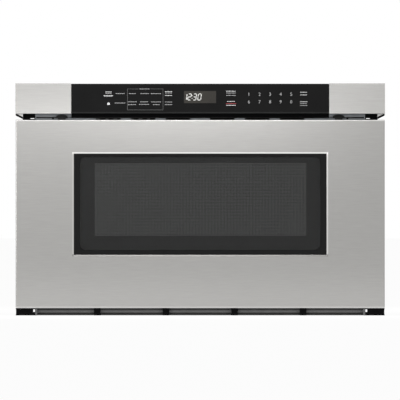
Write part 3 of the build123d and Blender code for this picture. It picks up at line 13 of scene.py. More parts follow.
import bpy
import numpy as np
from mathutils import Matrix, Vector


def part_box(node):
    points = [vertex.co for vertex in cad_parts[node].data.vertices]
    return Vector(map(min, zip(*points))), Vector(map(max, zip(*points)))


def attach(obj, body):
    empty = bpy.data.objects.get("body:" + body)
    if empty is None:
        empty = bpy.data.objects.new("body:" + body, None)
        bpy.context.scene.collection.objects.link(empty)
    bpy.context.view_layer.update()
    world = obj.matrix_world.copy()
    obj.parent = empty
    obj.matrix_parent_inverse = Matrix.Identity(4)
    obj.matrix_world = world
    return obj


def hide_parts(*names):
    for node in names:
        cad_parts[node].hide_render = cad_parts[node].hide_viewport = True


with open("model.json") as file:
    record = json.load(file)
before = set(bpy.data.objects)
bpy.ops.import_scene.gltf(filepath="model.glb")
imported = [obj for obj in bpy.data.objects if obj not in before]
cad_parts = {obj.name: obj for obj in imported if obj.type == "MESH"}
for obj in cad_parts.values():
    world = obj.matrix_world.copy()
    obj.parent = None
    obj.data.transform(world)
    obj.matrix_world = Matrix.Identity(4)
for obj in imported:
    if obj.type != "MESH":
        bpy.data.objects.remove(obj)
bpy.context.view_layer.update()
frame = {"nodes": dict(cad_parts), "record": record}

MM = 0.001
NODES = frame["nodes"]

# %% [markdown]
# The photograph is a straight-on view through a long lens. At the drawer front's plane it takes in
# 656 mm, and its middle is 189 mm above the floor. A camera close by would make the deeper pieces look
# smaller than the picture shows them, so this one stands 30 m away with a lens that is as long as it needs.

# %% Camera
FRONT_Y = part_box("front_skin")[0].y
VIEW_WIDTH = 656.1 * MM
VIEW_MIDDLE_X = -0.33 * MM
VIEW_MIDDLE_Z = 189.45 * MM
VIEW_DISTANCE = 30.0
SENSOR = 36.0
FARTHEST = 100.0

lens = bpy.data.cameras.new("product_camera")
lens.sensor_width = SENSOR
lens.lens = SENSOR * VIEW_DISTANCE / VIEW_WIDTH
lens.clip_end = FARTHEST
camera = bpy.data.objects.new("product_camera", lens)
camera.location = (VIEW_MIDDLE_X, FRONT_Y - VIEW_DISTANCE, VIEW_MIDDLE_Z)
camera.rotation_euler = (math.pi / 2, 0, 0)
bpy.context.scene.collection.objects.link(camera)
bpy.context.scene.camera = camera
bpy.context.scene.view_settings.view_transform = "Standard"
print("lens:", round(lens.lens, 1), "mm")

# %% [markdown]
# Colours are picked as screen colours (sRGB hex), and Blender's shaders work in linear light, so one
# function converts. A node tree could be drawn by hand in the editor. In a script, one function that adds
# a node, sets it up and links it keeps each material short.

# %% Helpers for node trees


def linear(code):
    """The linear RGBA of an sRGB hex colour: each channel through the standard sRGB curve."""
    srgb = np.array([int(code[i : i + 2], 16) for i in (1, 3, 5)]) / 255
    low = srgb / 12.92
    high = ((srgb + 0.055) / 1.055) ** 2.4
    return (*np.where(srgb <= 0.04045, low, high), 1.0)


def add(tree, kind, sockets=None, stops=(), **settings):
    """Adds a node: settings are its properties, and sockets gives each input a value or a link.

    Stops are a colour ramp's (position, linear colour) pairs, in order, joined by straight lines."""
    made = tree.nodes.new(kind)
    for name, value in settings.items():
        setattr(made, name, value)
    for name, value in (sockets or {}).items():
        if isinstance(value, bpy.types.NodeSocket):
            tree.links.new(value, made.inputs[name])
        else:
            made.inputs[name].default_value = value
    if stops:
        points = made.color_ramp.elements
        while len(points) < len(stops):
            points.new(0.5)
        for point, (position, colour) in zip(points, stops):
            point.position = position
            point.color = colour
    return made


print("mid grey in linear light:", round(float(linear("#808080")[0]), 3))

# %% [markdown]
# A finish is more than a colour. Each material below has a pattern between 0 and 1 that stands for how
# the surface was made: it picks between two near colours and two roughness values, and may lift the
# surface a little. A photo texture could do this, but a procedural pattern has no seams and no edge, and
# its size is the real one in millimetres, read from Object coordinates. A partial call gives one pattern
# its settings and leaves the node tree open.

# %% Patterns


def scaled_place(tree, size_mm, stretch):
    """The place on the object divided by the pattern's size along x, y and z, so one unit is one blob."""
    place = add(tree, "ShaderNodeTexCoord").outputs["Object"]
    scale = [1 / (size_mm * MM * s) for s in stretch]
    return add(tree, "ShaderNodeMapping", {"Vector": place, "Scale": scale}).outputs["Vector"]


def noise(tree, size_mm, detail=3.0, stretch=(1, 1, 1), rough=0.5):
    """Cloudy noise whose blobs are size_mm wide, drawn out by stretch along x, y and z."""
    return add(tree, "ShaderNodeTexNoise", {
        "Vector": scaled_place(tree, size_mm, stretch), "Scale": 1.0, "Detail": detail, "Roughness": rough,
    }).outputs["Fac"]


def crystals(tree, size_mm):
    """Voronoi cells size_mm wide, each with one random tone between 0 and 1."""
    place = scaled_place(tree, size_mm, (1, 1, 1))
    cells = add(tree, "ShaderNodeTexVoronoi", {"Vector": place, "Scale": 1.0})
    return add(tree, "ShaderNodeSeparateColor", {"Color": cells.outputs["Color"]}).outputs["Red"]


print("patterns: noise and crystals")

# %% [markdown]
# Every finish goes through one function, so that all of them are built alike. The pattern's middle range
# carries the change from one tone to the other, because noise seldom reaches 0 or 1. What is the same all
# over, such as Metallic, is set on the shader's own socket and never linked, or the export would drop it.

# %% One function for all finishes
TONE_FROM, TONE_TO = 0.25, 0.75
FINISHES = {}


def surface(name, pattern, tones, rough, bump_mm=0.0, bump=None, over=None, **fixed):
    """A material: the pattern picks a colour between two tones and a roughness between two values.

    bump_mm is how far the bump pattern, or the same one, lifts the surface, and over changes the colour
    in places. The fixed sockets are named with _ for a space."""
    material = bpy.data.materials.new(name)
    material.use_nodes = True
    tree = material.node_tree
    tree.nodes.clear()
    factor = pattern(tree)
    stops = [(TONE_FROM, linear(tones[0])), (TONE_TO, linear(tones[1]))]
    colour = add(tree, "ShaderNodeValToRGB", {"Fac": factor}, stops).outputs["Color"]
    gloss = add(tree, "ShaderNodeMapRange", {"Value": factor, "To Min": rough[0], "To Max": rough[1]})
    shader = add(tree, "ShaderNodeBsdfPrincipled", {
        "Base Color": over(tree, colour) if over else colour, "Roughness": gloss.outputs["Result"],
    })
    if bump_mm:
        height = bump(tree) if bump else factor
        lifted = add(tree, "ShaderNodeBump", {"Height": height, "Distance": bump_mm * MM, "Strength": 1.0})
        tree.links.new(lifted.outputs["Normal"], shader.inputs["Normal"])
    for socket, value in fixed.items():
        shader.inputs[socket.replace("_", " ")].default_value = value
    add(tree, "ShaderNodeOutputMaterial", {"Surface": shader.outputs["BSDF"]})
    print("finish:", name)
    return material


# %% [markdown]
# Stainless steel for a kitchen front is rolled flat and then brushed along its length with an abrasive
# belt. The scratches are about 0.2 mm apart and tens of millimetres long. That is finer than a pixel
# here, so the lines are drawn about 1.2 mm apart, with little contrast, and run along x. The folded
# edges catch the lamps. An anisotropic shader could bring that gleam out from the light alone, but here
# it is a painted highlight, a paler tone at each edge's height, which also survives the export.

# %% Brushed steel
BRUSH_LINE = 1.2
ALONG_BRUSH = (25, 25, 1)
SCRATCH_LIFT = 0.006
# Painted highlight: height in mm and how far the tone goes to the paler one there: the drawer front's
# lower and upper edges, and the panel trims' lower and upper edges.
PAINTED_EDGE_HIGHLIGHTS = ((12.0, 0.85), (13.8, 0.85), (14.1, 0), (319.3, 0), (319.6, 0.65), (321.3, 0.65),
         (328.0, 0.12), (332.8, 0.12), (333.2, 0), (379.0, 0), (379.4, 0.10), (381.0, 0.10))

# Noise drawn out into lines, and the same lines at half the size for the bump.
brushed_lines = partial(noise, size_mm=BRUSH_LINE, detail=4.0, stretch=ALONG_BRUSH, rough=0.6)
brushed_scratches = partial(noise, size_mm=BRUSH_LINE / 2, detail=2.0, stretch=ALONG_BRUSH)


def by_height(tree, levels):
    """A value set by the height above the floor; levels are (mm, value) pairs, joined by straight lines."""
    place = add(tree, "ShaderNodeTexCoord").outputs["Object"]
    height = add(tree, "ShaderNodeSeparateXYZ", {"Vector": place}).outputs["Z"]
    top = levels[-1][0]
    share = add(tree, "ShaderNodeMapRange", {"Value": height, "From Max": top * MM}).outputs["Result"]
    stops = [(level / top, (value, value, value, 1)) for level, value in levels]
    return add(tree, "ShaderNodeValToRGB", {"Fac": share}, stops).outputs["Color"]


def painted_edge_highlight(tree, colour):
    """The colour, mixed with a paler one along the folded edges as a painted highlight. Sockets 6, 7 and 2
    are the colour ones.
    """
    return add(tree, "ShaderNodeMix", {
        0: by_height(tree, PAINTED_EDGE_HIGHLIGHTS), 6: colour, 7: linear("#D6D5D3"),
    }, data_type="RGBA").outputs[2]


# The folded edges get a painted highlight: a paler tone at their heights.
FINISHES["brushed_stainless"] = surface(
    "brushed_stainless_steel", brushed_lines, ("#9C9B99", "#A4A3A1"), (0.30, 0.38),
    bump_mm=SCRATCH_LIFT, bump=brushed_scratches, over=painted_edge_highlight, Metallic=1.0)

# %% [markdown]
# The trim round the window is a thin stainless bevel. Its upper rail faces the lamps and gets a paler
# tone, a painted highlight, and its lower rail faces the floor and gets a darker one, a painted shade.
# Its four rails could have a material each, but they are one solid, so one material reads the height
# instead.

# %% Window trim
# Painted light and shade on the rails: height in mm and the place on the ramp, dark below, pale above.
RAIL_LIGHT_LEVELS = ((0, 0.0), (99.6, 0.0), (100.2, 0.5), (264.5, 0.5), (265.5, 1.0), (381.0, 1.0))
PAINTED_RAIL_TONES = ((0.0, linear("#6F6E6C")), (0.5, linear("#B3B2B0")), (1.0, linear("#E2E1DF")))
satin = partial(noise, size_mm=6.0, detail=2.0, stretch=(4, 4, 1))


def painted_rail_light_and_shade(tree, _colour):
    """Painted light and shade: a dark tone on the lower rail, a middle one on the sides and a pale one on
    the upper rail, by height; it takes the place of the pattern's.
    """
    return add(tree, "ShaderNodeValToRGB", {"Fac": by_height(tree, RAIL_LIGHT_LEVELS)}, PAINTED_RAIL_TONES).outputs["Color"]


# The rails get painted light and shade by their height.
FINISHES["polished_stainless"] = surface(
    "polished_stainless_steel", satin, ("#A9A8A6", "#B2B1AF"), (0.34, 0.42), over=painted_rail_light_and_shade, Metallic=1.0)

# %% [markdown]
# Hot-dip galvanised sheet shows zinc crystals, called spangle, a few millimetres across, each with its
# own tone, so it gets Voronoi cells. Zinc plating on slides and brackets is even and a little cloudy
# instead, and aluminium is rolled, with faint lines along the roll: both get noise. The oven's front
# sheets have duller tones of their own, because they lie in the shade of the gap in the photograph.

# %% Zinc, aluminium and steel
spangle = partial(crystals, size_mm=6.0)
rolled = partial(noise, size_mm=1.5, stretch=(30, 1, 1))
cloudy = partial(noise, size_mm=12.0, detail=4.0)

FINISHES["galvanised_steel"] = surface(
    "galvanised_steel_sheet", spangle, ("#ABAEB0", "#B7BABC"), (0.36, 0.46), Metallic=1.0)
FINISHES["zinc_plated_steel"] = surface(
    "zinc_plated_steel", cloudy, ("#BFC1C4", "#CDCFD1"), (0.26, 0.36), Metallic=1.0)
FINISHES["aluminium"] = surface(
    "rolled_aluminium", rolled, ("#C9CACC", "#D6D7D8"), (0.28, 0.40), Metallic=1.0)
FINISHES["motor_steel"] = surface(
    "drawn_motor_steel", cloudy, ("#94969A", "#A6A8AB"), (0.30, 0.42), Metallic=1.0)
# Darker copies of the zinc sheet, as painted shade, for the frame, the channel and the brackets in the
# gaps.
SHADED_FRAME_STEEL = surface(
    "frame_steel_painted_shade", cloudy, ("#85888B", "#95989B"), (0.58, 0.68), Metallic=1.0)
SHADED_CHANNEL_STEEL = surface(
    "channel_steel_painted_shade", cloudy, ("#686868", "#737373"), (0.45, 0.55), Metallic=1.0)
SHADED_BRACKET_STEEL = surface(
    "bracket_steel_painted_shade", cloudy, ("#7E8184", "#909396"), (0.36, 0.46), Metallic=1.0)

# %% [markdown]
# The oven cavity and the drawer box are pressed steel with baked enamel. It flows out smooth but keeps a
# faint waviness like orange peel, a few millimetres across. The black paint on the flanges is a powder
# coat with a finer, rougher grain, and the screen behind the window is painted dark in the same way. All
# three are noise with a little bump: only its size and the gloss tell them apart.

# %% Enamel and paint
orange_peel = partial(noise, size_mm=2.5, detail=2.0)
powder_grain = partial(noise, size_mm=0.6, detail=2.0)

FINISHES["grey_enamel"] = surface(
    "baked_grey_enamel", orange_peel, ("#A9AAA8", "#B1B2B0"), (0.30, 0.38), bump_mm=0.02)
FINISHES["black_paint"] = surface(
    "black_powder_coat", powder_grain, ("#0A0A0B", "#101011"), (0.50, 0.62), bump_mm=0.02,
    Specular_IOR_Level=0.08)
FINISHES["perforated_screen"] = surface(
    "dark_screen_paint", powder_grain, ("#313131", "#393939"), (0.45, 0.55), bump_mm=0.01)

# %% [markdown]
# Moulded plastics take the texture of their mould. Black ABS on the panel housing and the grille is
# finely grained, nylon gears are smooth and waxy, and rubber bumpers are dull. Nylon lets a little light
# in, so it gets a little subsurface scattering, which costs nothing at this scale.

# %% Plastics and rubber
mould_grain = partial(noise, size_mm=0.8, rough=0.6)
fine_speckle = partial(noise, size_mm=2.0, detail=4.0)

FINISHES["black_plastic"] = surface(
    "moulded_black_abs", mould_grain, ("#060607", "#0B0B0D"), (0.42, 0.54), bump_mm=0.02,
    Specular_IOR_Level=0.06)
FINISHES["white_nylon"] = surface(
    "moulded_white_nylon", fine_speckle, ("#DEDBD2", "#E6E3DB"), (0.36, 0.44), bump_mm=0.01,
    Subsurface_Weight=0.05)
FINISHES["rubber"] = surface(
    "black_rubber", mould_grain, ("#1B1B1B", "#262626"), (0.70, 0.82), bump_mm=0.03)

# %% [markdown]
# The drawer's floor is glass ceramic, pale and satin with a faint speckle. The cover under the stirrer
# is a sheet of pressed mica, a warm beige with silvery flakes. Inside the case are varnished copper
# wire, a core of stacked steel sheets and a green circuit board. Windings and sheets could be modelled
# one by one, but the case hides them, so lines across their surface are enough.

# %% Ceramic, mica and electrical parts
LAMINATION = 1.0  # mm of the stack for each radian of the wave, so its lines are coarser than real sheets
WAVE_RADIANS = 20  # Blender's wave texture turns by 20 radians in each unit of its place

# One flat-toned cell for each flake, noise drawn out the way the wire runs, and glass fibres as fine noise.
flakes = partial(crystals, size_mm=3.0)
windings = partial(noise, size_mm=0.9, detail=2.0, stretch=(1, 8, 8))
fibre = partial(noise, size_mm=1.6)


def laminations(tree):
    """Thin dark and light lines across x: a sine of x over LAMINATION, a little distorted."""
    place = add(tree, "ShaderNodeTexCoord").outputs["Object"]
    return add(tree, "ShaderNodeTexWave", {
        "Vector": place, "Scale": 1 / (LAMINATION * MM) / WAVE_RADIANS, "Distortion": 0.4, "Detail": 1.0,
    }, bands_direction="X").outputs["Fac"]


FINISHES["glass_ceramic"] = surface(
    "satin_glass_ceramic", fine_speckle, ("#D4D2CC", "#DEDCD7"), (0.22, 0.30))
FINISHES["mica"] = surface(
    "pressed_mica_sheet", flakes, ("#BBAF95", "#CDC2AA"), (0.40, 0.62), bump_mm=0.01)
FINISHES["copper_wire"] = surface(
    "varnished_copper_wire", windings, ("#A0592F", "#BE7444"), (0.24, 0.38), bump_mm=0.05,
    Metallic=1.0, Coat_Weight=0.4)
FINISHES["core_steel"] = surface(
    "laminated_core_steel", laminations, ("#57585B", "#6D6E71"), (0.40, 0.55), bump_mm=0.03, Metallic=1.0)
FINISHES["circuit_board"] = surface(
    "green_circuit_board", fibre, ("#1F5A38", "#27693F"), (0.34, 0.46), Coat_Weight=0.3)

# %% [markdown]
# The control panel is one sheet of smoked glass, printed black behind. It could be clear glass over a
# black layer, but nothing shows through it, so a dark glossy surface does the same with less noise. It
# mirrors little of the room, so its specular level is low. The display's lens is a dark smoked plastic.

# %% Panel glass and display lens
# Clouds so wide and weak that the glass still looks even.
faint_haze = partial(noise, size_mm=40.0, detail=2.0)

FINISHES["black_glass"] = surface(
    "printed_black_glass", faint_haze, ("#0C0C0C", "#101010"), (0.10, 0.14), Specular_IOR_Level=0.11)
FINISHES["display_lens"] = surface(
    "smoked_display_lens", faint_haze, ("#292724", "#302E2A"), (0.16, 0.22), Specular_IOR_Level=0.2)

# %% [markdown]
# The window pane is clear tempered glass with a ceramic print baked on its back: black round the rim,
# and a grey tint inside. The print could be a second sheet just behind the pane, but two faces that close
# together flicker. A black base colour blocks the light that goes through, so one ramp over the distance
# from the clear field draws the print. The pane's IOR is lower than glass's 1.5, to mirror as little of
# the white room as the coated glass in the photograph.

# %% Window pane
PANE_IOR = 1.30
PRINT_HALF_WIDTH = 197.0 * MM
PRINT_MIDDLE_Z = 183.7 * MM
PRINT_HALF_HEIGHT = 76.3 * MM
PRINT_CORNER = 10.0 * MM
PRINT_BLUR = 0.4 * MM


def outside(tree, way, half):
    """How far a place lies beyond the straight part of a side: |way| - (half - corner), and 0 before it."""
    distance = add(tree, "ShaderNodeMath", {0: way}, operation="ABSOLUTE").outputs[0]
    beyond = add(tree, "ShaderNodeMath", {0: distance, 1: half - PRINT_CORNER}, operation="SUBTRACT")
    return add(tree, "ShaderNodeMath", {0: beyond.outputs[0], 1: 0.0}, operation="MAXIMUM").outputs[0]


def printed_rim(tree):
    """0 on the clear field and 1 on the rim: a short step in the distance from the field's middle part."""
    place = add(tree, "ShaderNodeTexCoord").outputs["Object"]
    parts = add(tree, "ShaderNodeSeparateXYZ", {"Vector": place}).outputs
    rise = add(tree, "ShaderNodeMath", {0: parts["Z"], 1: PRINT_MIDDLE_Z}, operation="SUBTRACT").outputs[0]
    out_x = outside(tree, parts["X"], PRINT_HALF_WIDTH)
    out_z = outside(tree, rise, PRINT_HALF_HEIGHT)
    corner = add(tree, "ShaderNodeCombineXYZ", {"X": out_x, "Y": out_z}).outputs["Vector"]
    away = add(tree, "ShaderNodeVectorMath", {0: corner}, operation="LENGTH").outputs["Value"]
    return add(tree, "ShaderNodeMapRange", {
        "Value": away, "From Min": PRINT_CORNER - PRINT_BLUR, "From Max": PRINT_CORNER + PRINT_BLUR,
    }).outputs["Result"]


FINISHES["tinted_glass"] = surface(
    "printed_window_glass", printed_rim, ("#A0A1A0", "#030303"), (0.02, 0.03),
    Transmission_Weight=1.0, IOR=PANE_IOR)

# %% [markdown]
# The imported record names a finish for every node, so one loop dresses all of them. A few nodes have a
# finish of their own: the sheets that show in the gaps wear darker copies of their steel, a painted shade,
# and the exhaust duct wears black paint, a painted shade too, so that no light wanders through it. Only
# the material slots change, and the meshes stay as they are.

# %% Put the finishes on the CAD nodes
OWN_FINISH = {
    "front_frame": SHADED_FRAME_STEEL, "lower_front_panel": SHADED_FRAME_STEEL, "panel_brackets": SHADED_BRACKET_STEEL,
    # Painted shade: the toe channel's darker steel, and the exhaust duct's black paint.
    "toe_channel": SHADED_CHANNEL_STEEL, "exhaust_duct": FINISHES["black_paint"],
}

for row in frame["record"]["subparts"]:
    shown = NODES[row["node"]]
    shown.data.materials.clear()
    shown.data.materials.append(OWN_FINISH.get(row["node"], FINISHES[row["material_slot"]]))
print("finishes from the record:", len(FINISHES), "own finishes:", len(OWN_FINISH))

# %% [markdown]
# A product photograph on white is taken in a white tent. Here the world is that tent. It lights the
# object evenly and a little under full strength, while the camera, mirrors and glass see it at 1, pure
# white. More light could also turn the background white, but it would wash out the steel.

# %% World
ROOM_LIGHT = 0.80

world = bpy.data.worlds.new("white_studio")
bpy.context.scene.world = world
world.use_nodes = True
tree = world.node_tree
tree.nodes.clear()


def where_seen(tree, unseen, seen):
    """One value where the camera, a mirror or glass looks, and another where only light is gathered."""
    rays = add(tree, "ShaderNodeLightPath").outputs
    looks = {0: rays["Is Camera Ray"], 1: rays["Is Glossy Ray"]}
    first = add(tree, "ShaderNodeMath", looks, operation="ADD").outputs[0]
    looks = {0: first, 1: rays["Is Transmission Ray"]}
    share = add(tree, "ShaderNodeMath", looks, operation="ADD", use_clamp=True).outputs[0]
    values = {"Value": share, "To Min": unseen, "To Max": seen}
    return add(tree, "ShaderNodeMapRange", values).outputs["Result"]


power = where_seen(tree, ROOM_LIGHT, 1.0)
tent = add(tree, "ShaderNodeBackground", {"Color": linear("#FFFFFF"), "Strength": power})
add(tree, "ShaderNodeOutputWorld", {"Surface": tent.outputs["Background"]})
print("room light:", ROOM_LIGHT)

# %% [markdown]
# The floor is a wide matte sheet that keeps the object's soft shadow. Where it is looked at, most of it
# glows white, so that it melts into the background as paper does. It is only as dark as its shadow needs.

# %% Floor
FLOOR_HALF = 60.0
FLOOR_WHITE = 0.90

floor_finish = bpy.data.materials.new("white_studio_floor")
floor_finish.use_nodes = True
tree = floor_finish.node_tree
tree.nodes.clear()
matte = add(tree, "ShaderNodeBsdfDiffuse", {"Color": linear("#F2F2F2")})
paper = add(tree, "ShaderNodeEmission", {"Color": linear("#FFFFFF"), "Strength": 1.0})
white = where_seen(tree, 0.0, FLOOR_WHITE)
mixed = add(tree, "ShaderNodeMixShader", {0: white, 1: matte.outputs[0], 2: paper.outputs[0]})
add(tree, "ShaderNodeOutputMaterial", {"Surface": mixed.outputs[0]})

floor_mesh = bpy.data.meshes.new("studio_floor")
floor_corners = [(FLOOR_HALF * x, FLOOR_HALF * y, 0) for x, y in ((-1, -1), (1, -1), (1, 1), (-1, 1))]
floor_mesh.from_pydata(floor_corners, [], [(0, 1, 2, 3)])
floor_mesh.materials.append(floor_finish)
floor = bpy.data.objects.new("studio_floor", floor_mesh)
bpy.context.scene.collection.objects.link(floor)
print("floor:", 2 * FLOOR_HALF, "m wide")

# %% [markdown]
# Soft boxes shape the steel. Two above the front and two above the panel make it paler at the top, a weak
# one at the left makes that side a little brighter than the right, a flat strip lights the channel under
# the drawer front, and one behind keeps the back from going dark. Point lamps would give hard highlights,
# so all are rectangles. The powers were matched to the photograph's tones, one region after another.

# %% Lamps


def soft_box(name, place, aim, size, watts):
    """A flat rectangular lamp at place, turned to face aim."""
    lamp = bpy.data.lights.new(name, "AREA")
    lamp.shape = "RECTANGLE"
    lamp.size, lamp.size_y = size
    lamp.energy = watts
    holder = bpy.data.objects.new(name, lamp)
    holder.location = place
    way = np.array(aim, float) - np.array(place, float)
    lean = math.acos(-way[2] / np.linalg.norm(way))
    holder.rotation_euler = (lean, 0, math.atan2(way[1], way[0]) - math.pi / 2)
    holder.visible_camera = False
    bpy.context.scene.collection.objects.link(holder)


# Name, place, aim, size in metres, and watts.
LAMPS = (
    ("soft_box_over_left", (-0.40, -0.9, 0.52), (-0.18, -0.3, 0.31), (0.5, 0.10), 1.0),
    ("soft_box_over_middle", (0.0, -0.9, 0.50), (0, -0.3, 0.31), (0.4, 0.10), 1.50),
    ("soft_box_left", (-0.75, -0.8, 0.25), (-0.2, -0.3, 0.20), (0.3, 0.3), 1.9),
    ("soft_box_above_left", (-0.35, -0.75, 0.95), (-0.2, -0.3, 0.36), (0.5, 0.25), 0.52),
    ("soft_box_above_right", (0.35, -0.75, 0.95), (0.2, -0.3, 0.36), (0.5, 0.25), 0.95),
    ("soft_box_near_floor", (0.0, -0.52, 0.02), (0, -0.3, 0.03), (0.8, 0.03), 0.065),
    ("soft_box_behind", (0.3, 1.6, 1.3), (0, 0.2, 0.2), (1.4, 0.8), 9),
)
for row in LAMPS:
    soft_box(*row)
print("lamps:", len(LAMPS), "together:", round(sum(row[-1] for row in LAMPS), 2), "W")

# %% [markdown]
# New pieces are surfaces: arrays of points worked out with numpy, joined by faces. Blender's modifiers
# could build them too, but points and faces say exactly what a piece is. One function makes the mesh, and
# says which body carries the piece and which finish it wears.

# %% One function for new pieces


def piece(name, points, faces, slot, body, smooth=False, finish=None):
    """Makes one mesh piece that rides a body, in the slot's finish or in one of its own."""
    mesh = bpy.data.meshes.new(name)
    mesh.from_pydata(np.asarray(points, float).tolist(), [], [list(map(int, f)) for f in faces])
    mesh.polygons.foreach_set("use_smooth", np.full(len(mesh.polygons), smooth))
    mesh.materials.append(finish or FINISHES[slot])
    made = bpy.data.objects.new(name, mesh)
    bpy.context.scene.collection.objects.link(made)
    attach(made, body)
    print(name, "points:", len(mesh.vertices), "faces:", len(mesh.polygons))
    return made


# %% [markdown]
# Much of the trim is extruded or cut from sheet, so it has one outline from end to end, and it comes in a
# left and a right piece. A bar is its outline carried along a straight way, and its pair is the mirror
# image across the middle plane.

# %% Bars and mirrored pairs


def prism(outline, travel):
    """A closed bar: a flat outline of points carried along travel, with all its faces outwards."""
    outline, travel = np.asarray(outline, float), np.asarray(travel, float)
    if np.cross(outline, np.roll(outline, -1, 0)).sum(0) @ travel > 0:
        outline = outline[::-1]
    n = len(outline)
    k = np.arange(n)
    ends = [list(range(n)), list(range(2 * n - 1, n - 1, -1))]
    sides = np.stack([k, k + n, (k + 1) % n + n, (k + 1) % n], -1).tolist()
    return np.concatenate([outline, outline + travel]), ends + sides


def joined(parts):
    """One set of points and faces from several."""
    points, faces = [], []
    for more, these in parts:
        faces += [[v + len(points) for v in face] for face in these]
        points += list(more)
    return np.array(points), faces


def both_sides(points, faces):
    """The shape and its mirror image across x = 0, whose faces are turned round again."""
    return joined([(points, faces), (points * (-1, 1, 1), [face[::-1] for face in faces])])


def upright(pairs, y):
    """Points at one depth from (x, z) pairs."""
    return np.array([(x, y, z) for x, z in pairs])


def mm(*values):
    """Metres from millimetres."""
    return np.array(values) * MM


print("a unit bar's faces:", len(prism(upright([(0, 0), (1, 0), (1, 1), (0, 1)], 0), (0, 1, 0))[1]))

# %% [markdown]
# The gap over the drawer shows what lies behind it. A black foam bead closes the joint between the frame
# and each bracket. A black strip of the same shape under the panel housing is painted shade, where the
# housing shades the frame. Foam is squeezed into a rounded bulge, so a bead is half an ellipse carried
# along x.

# %% Foam beads and a painted shade strip in the gap
FRAME_FACE_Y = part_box("front_frame")[0].y
CASE_HALF, FRAME_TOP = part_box("front_frame")[1].x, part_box("front_frame")[1].z
JOINT_START, JOINT_END_GAP = 217.5 * MM, 1.5 * MM
HOUSING_SHADE_HALF = 211.0 * MM
# How far each bead, and the painted shade strip under the housing, reach below and above the frame's top,
# and out of its face.
JOINT_BEAD, HOUSING_SHADE_STRIP = mm(0.2, 1.8, 0.7), mm(0.3, 1.4, 1.0)
ARC_POINTS = 9


def bead(x_from, x_to, below, above, proud):
    """Half an ellipse, proud of the frame's face, from below the frame's top to above it."""
    turn = np.linspace(-math.pi / 2, math.pi / 2, ARC_POINTS)
    y = FRAME_FACE_Y - proud * np.cos(turn)
    z = FRAME_TOP + (above - below) / 2 + (above + below) / 2 * np.sin(turn)
    return prism(np.stack([np.full(ARC_POINTS, x_from), y, z], -1), (x_to - x_from, 0, 0))


joint_bead = bead(JOINT_START, CASE_HALF - JOINT_END_GAP, *JOINT_BEAD)
housing_shade_strip = bead(-HOUSING_SHADE_HALF, HOUSING_SHADE_HALF, *HOUSING_SHADE_STRIP)
piece("bracket_joint_beads", *both_sides(*joint_bead), "rubber", "chassis", smooth=True)
# The strip under the panel housing is painted shade: black rubber where the housing shades the frame.
piece("housing_shade_strip", *housing_shade_strip, "rubber", "chassis", smooth=True)

# %% [markdown]
# Each end wing of the panel housing has a thin moulded rib below and a small steel gusset above it, from
# the wing's outer end to the side flange. Both are flat outlines in the front view, carried along y.

# %% Ribs and gussets on the end wings
HOUSING_FRONT_Y, WING_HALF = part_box("panel_housing")[0].y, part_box("panel_housing")[1].x
FLANGE_HALF, PANEL_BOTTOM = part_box("side_flanges")[1].x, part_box("side_flanges")[1].z
RIB_HALF, RIB_DEPTH = 0.6 * MM, 10.0 * MM
RIB_OUTER_Z, RIB_INNER_Z = PANEL_BOTTOM - 3.0 * MM, PANEL_BOTTOM - 8.4 * MM
GUSSET_TOP, GUSSET_OUTER_Z, GUSSET_INNER_Z = PANEL_BOTTOM + mm(0.8, -0.1, -5.3)
GUSSET_BACK, GUSSET_SHEET = 4.0 * MM, 0.8 * MM

rib = [(WING_HALF, RIB_OUTER_Z + RIB_HALF), (WING_HALF, RIB_OUTER_Z - RIB_HALF),
       (FLANGE_HALF, RIB_INNER_Z - RIB_HALF), (FLANGE_HALF, RIB_INNER_Z + RIB_HALF)]
gusset = [(WING_HALF, GUSSET_TOP), (WING_HALF, GUSSET_OUTER_Z),
          (FLANGE_HALF, GUSSET_INNER_Z), (FLANGE_HALF, GUSSET_TOP)]
ribs = both_sides(*prism(upright(rib, HOUSING_FRONT_Y), (0, RIB_DEPTH, 0)))
piece("wing_ribs", *ribs, "black_plastic", "chassis")
gussets = both_sides(*prism(upright(gusset, HOUSING_FRONT_Y + GUSSET_BACK), (0, GUSSET_SHEET, 0)))
piece("wing_gussets", *gussets, "brushed_stainless", "chassis")

# %% [markdown]
# Under the drawer front, the grille's end blocks have three small parts each: a pad in the hollow outer
# end, a lining in the slot, and a thin steel clip round the inner end that holds the channel. Each is a
# flat outline carried along y too. The hollow of the pad is a parabola over its height.

# %% Pads, linings and clips on the grille
GRILLE_FRONT_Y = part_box("lower_grille")[0].y
GRILLE_HALF, GRILLE_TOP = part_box("lower_grille")[1].x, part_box("lower_grille")[1].z
BLOCK_DEPTH, RECESS = 8.8 * MM, 0.1 * MM
PAD_HOLLOW, PAD_THICK, PAD_EDGE = 0.6 * MM, 2.4 * MM, 0.2 * MM
SLOT_INNER, SLOT_OUTER, SLOT_LOW, SLOT_HIGH = mm(270.7, 274.6, 5.7, 10.7)
LINING, LINING_TOP = 0.5 * MM, 0.8 * MM
CLIP_WIDTH, CLIP_SHEET, CLIP_EDGE, CLIP_LAP = mm(3.2, 0.3, 0.5, 0.1)

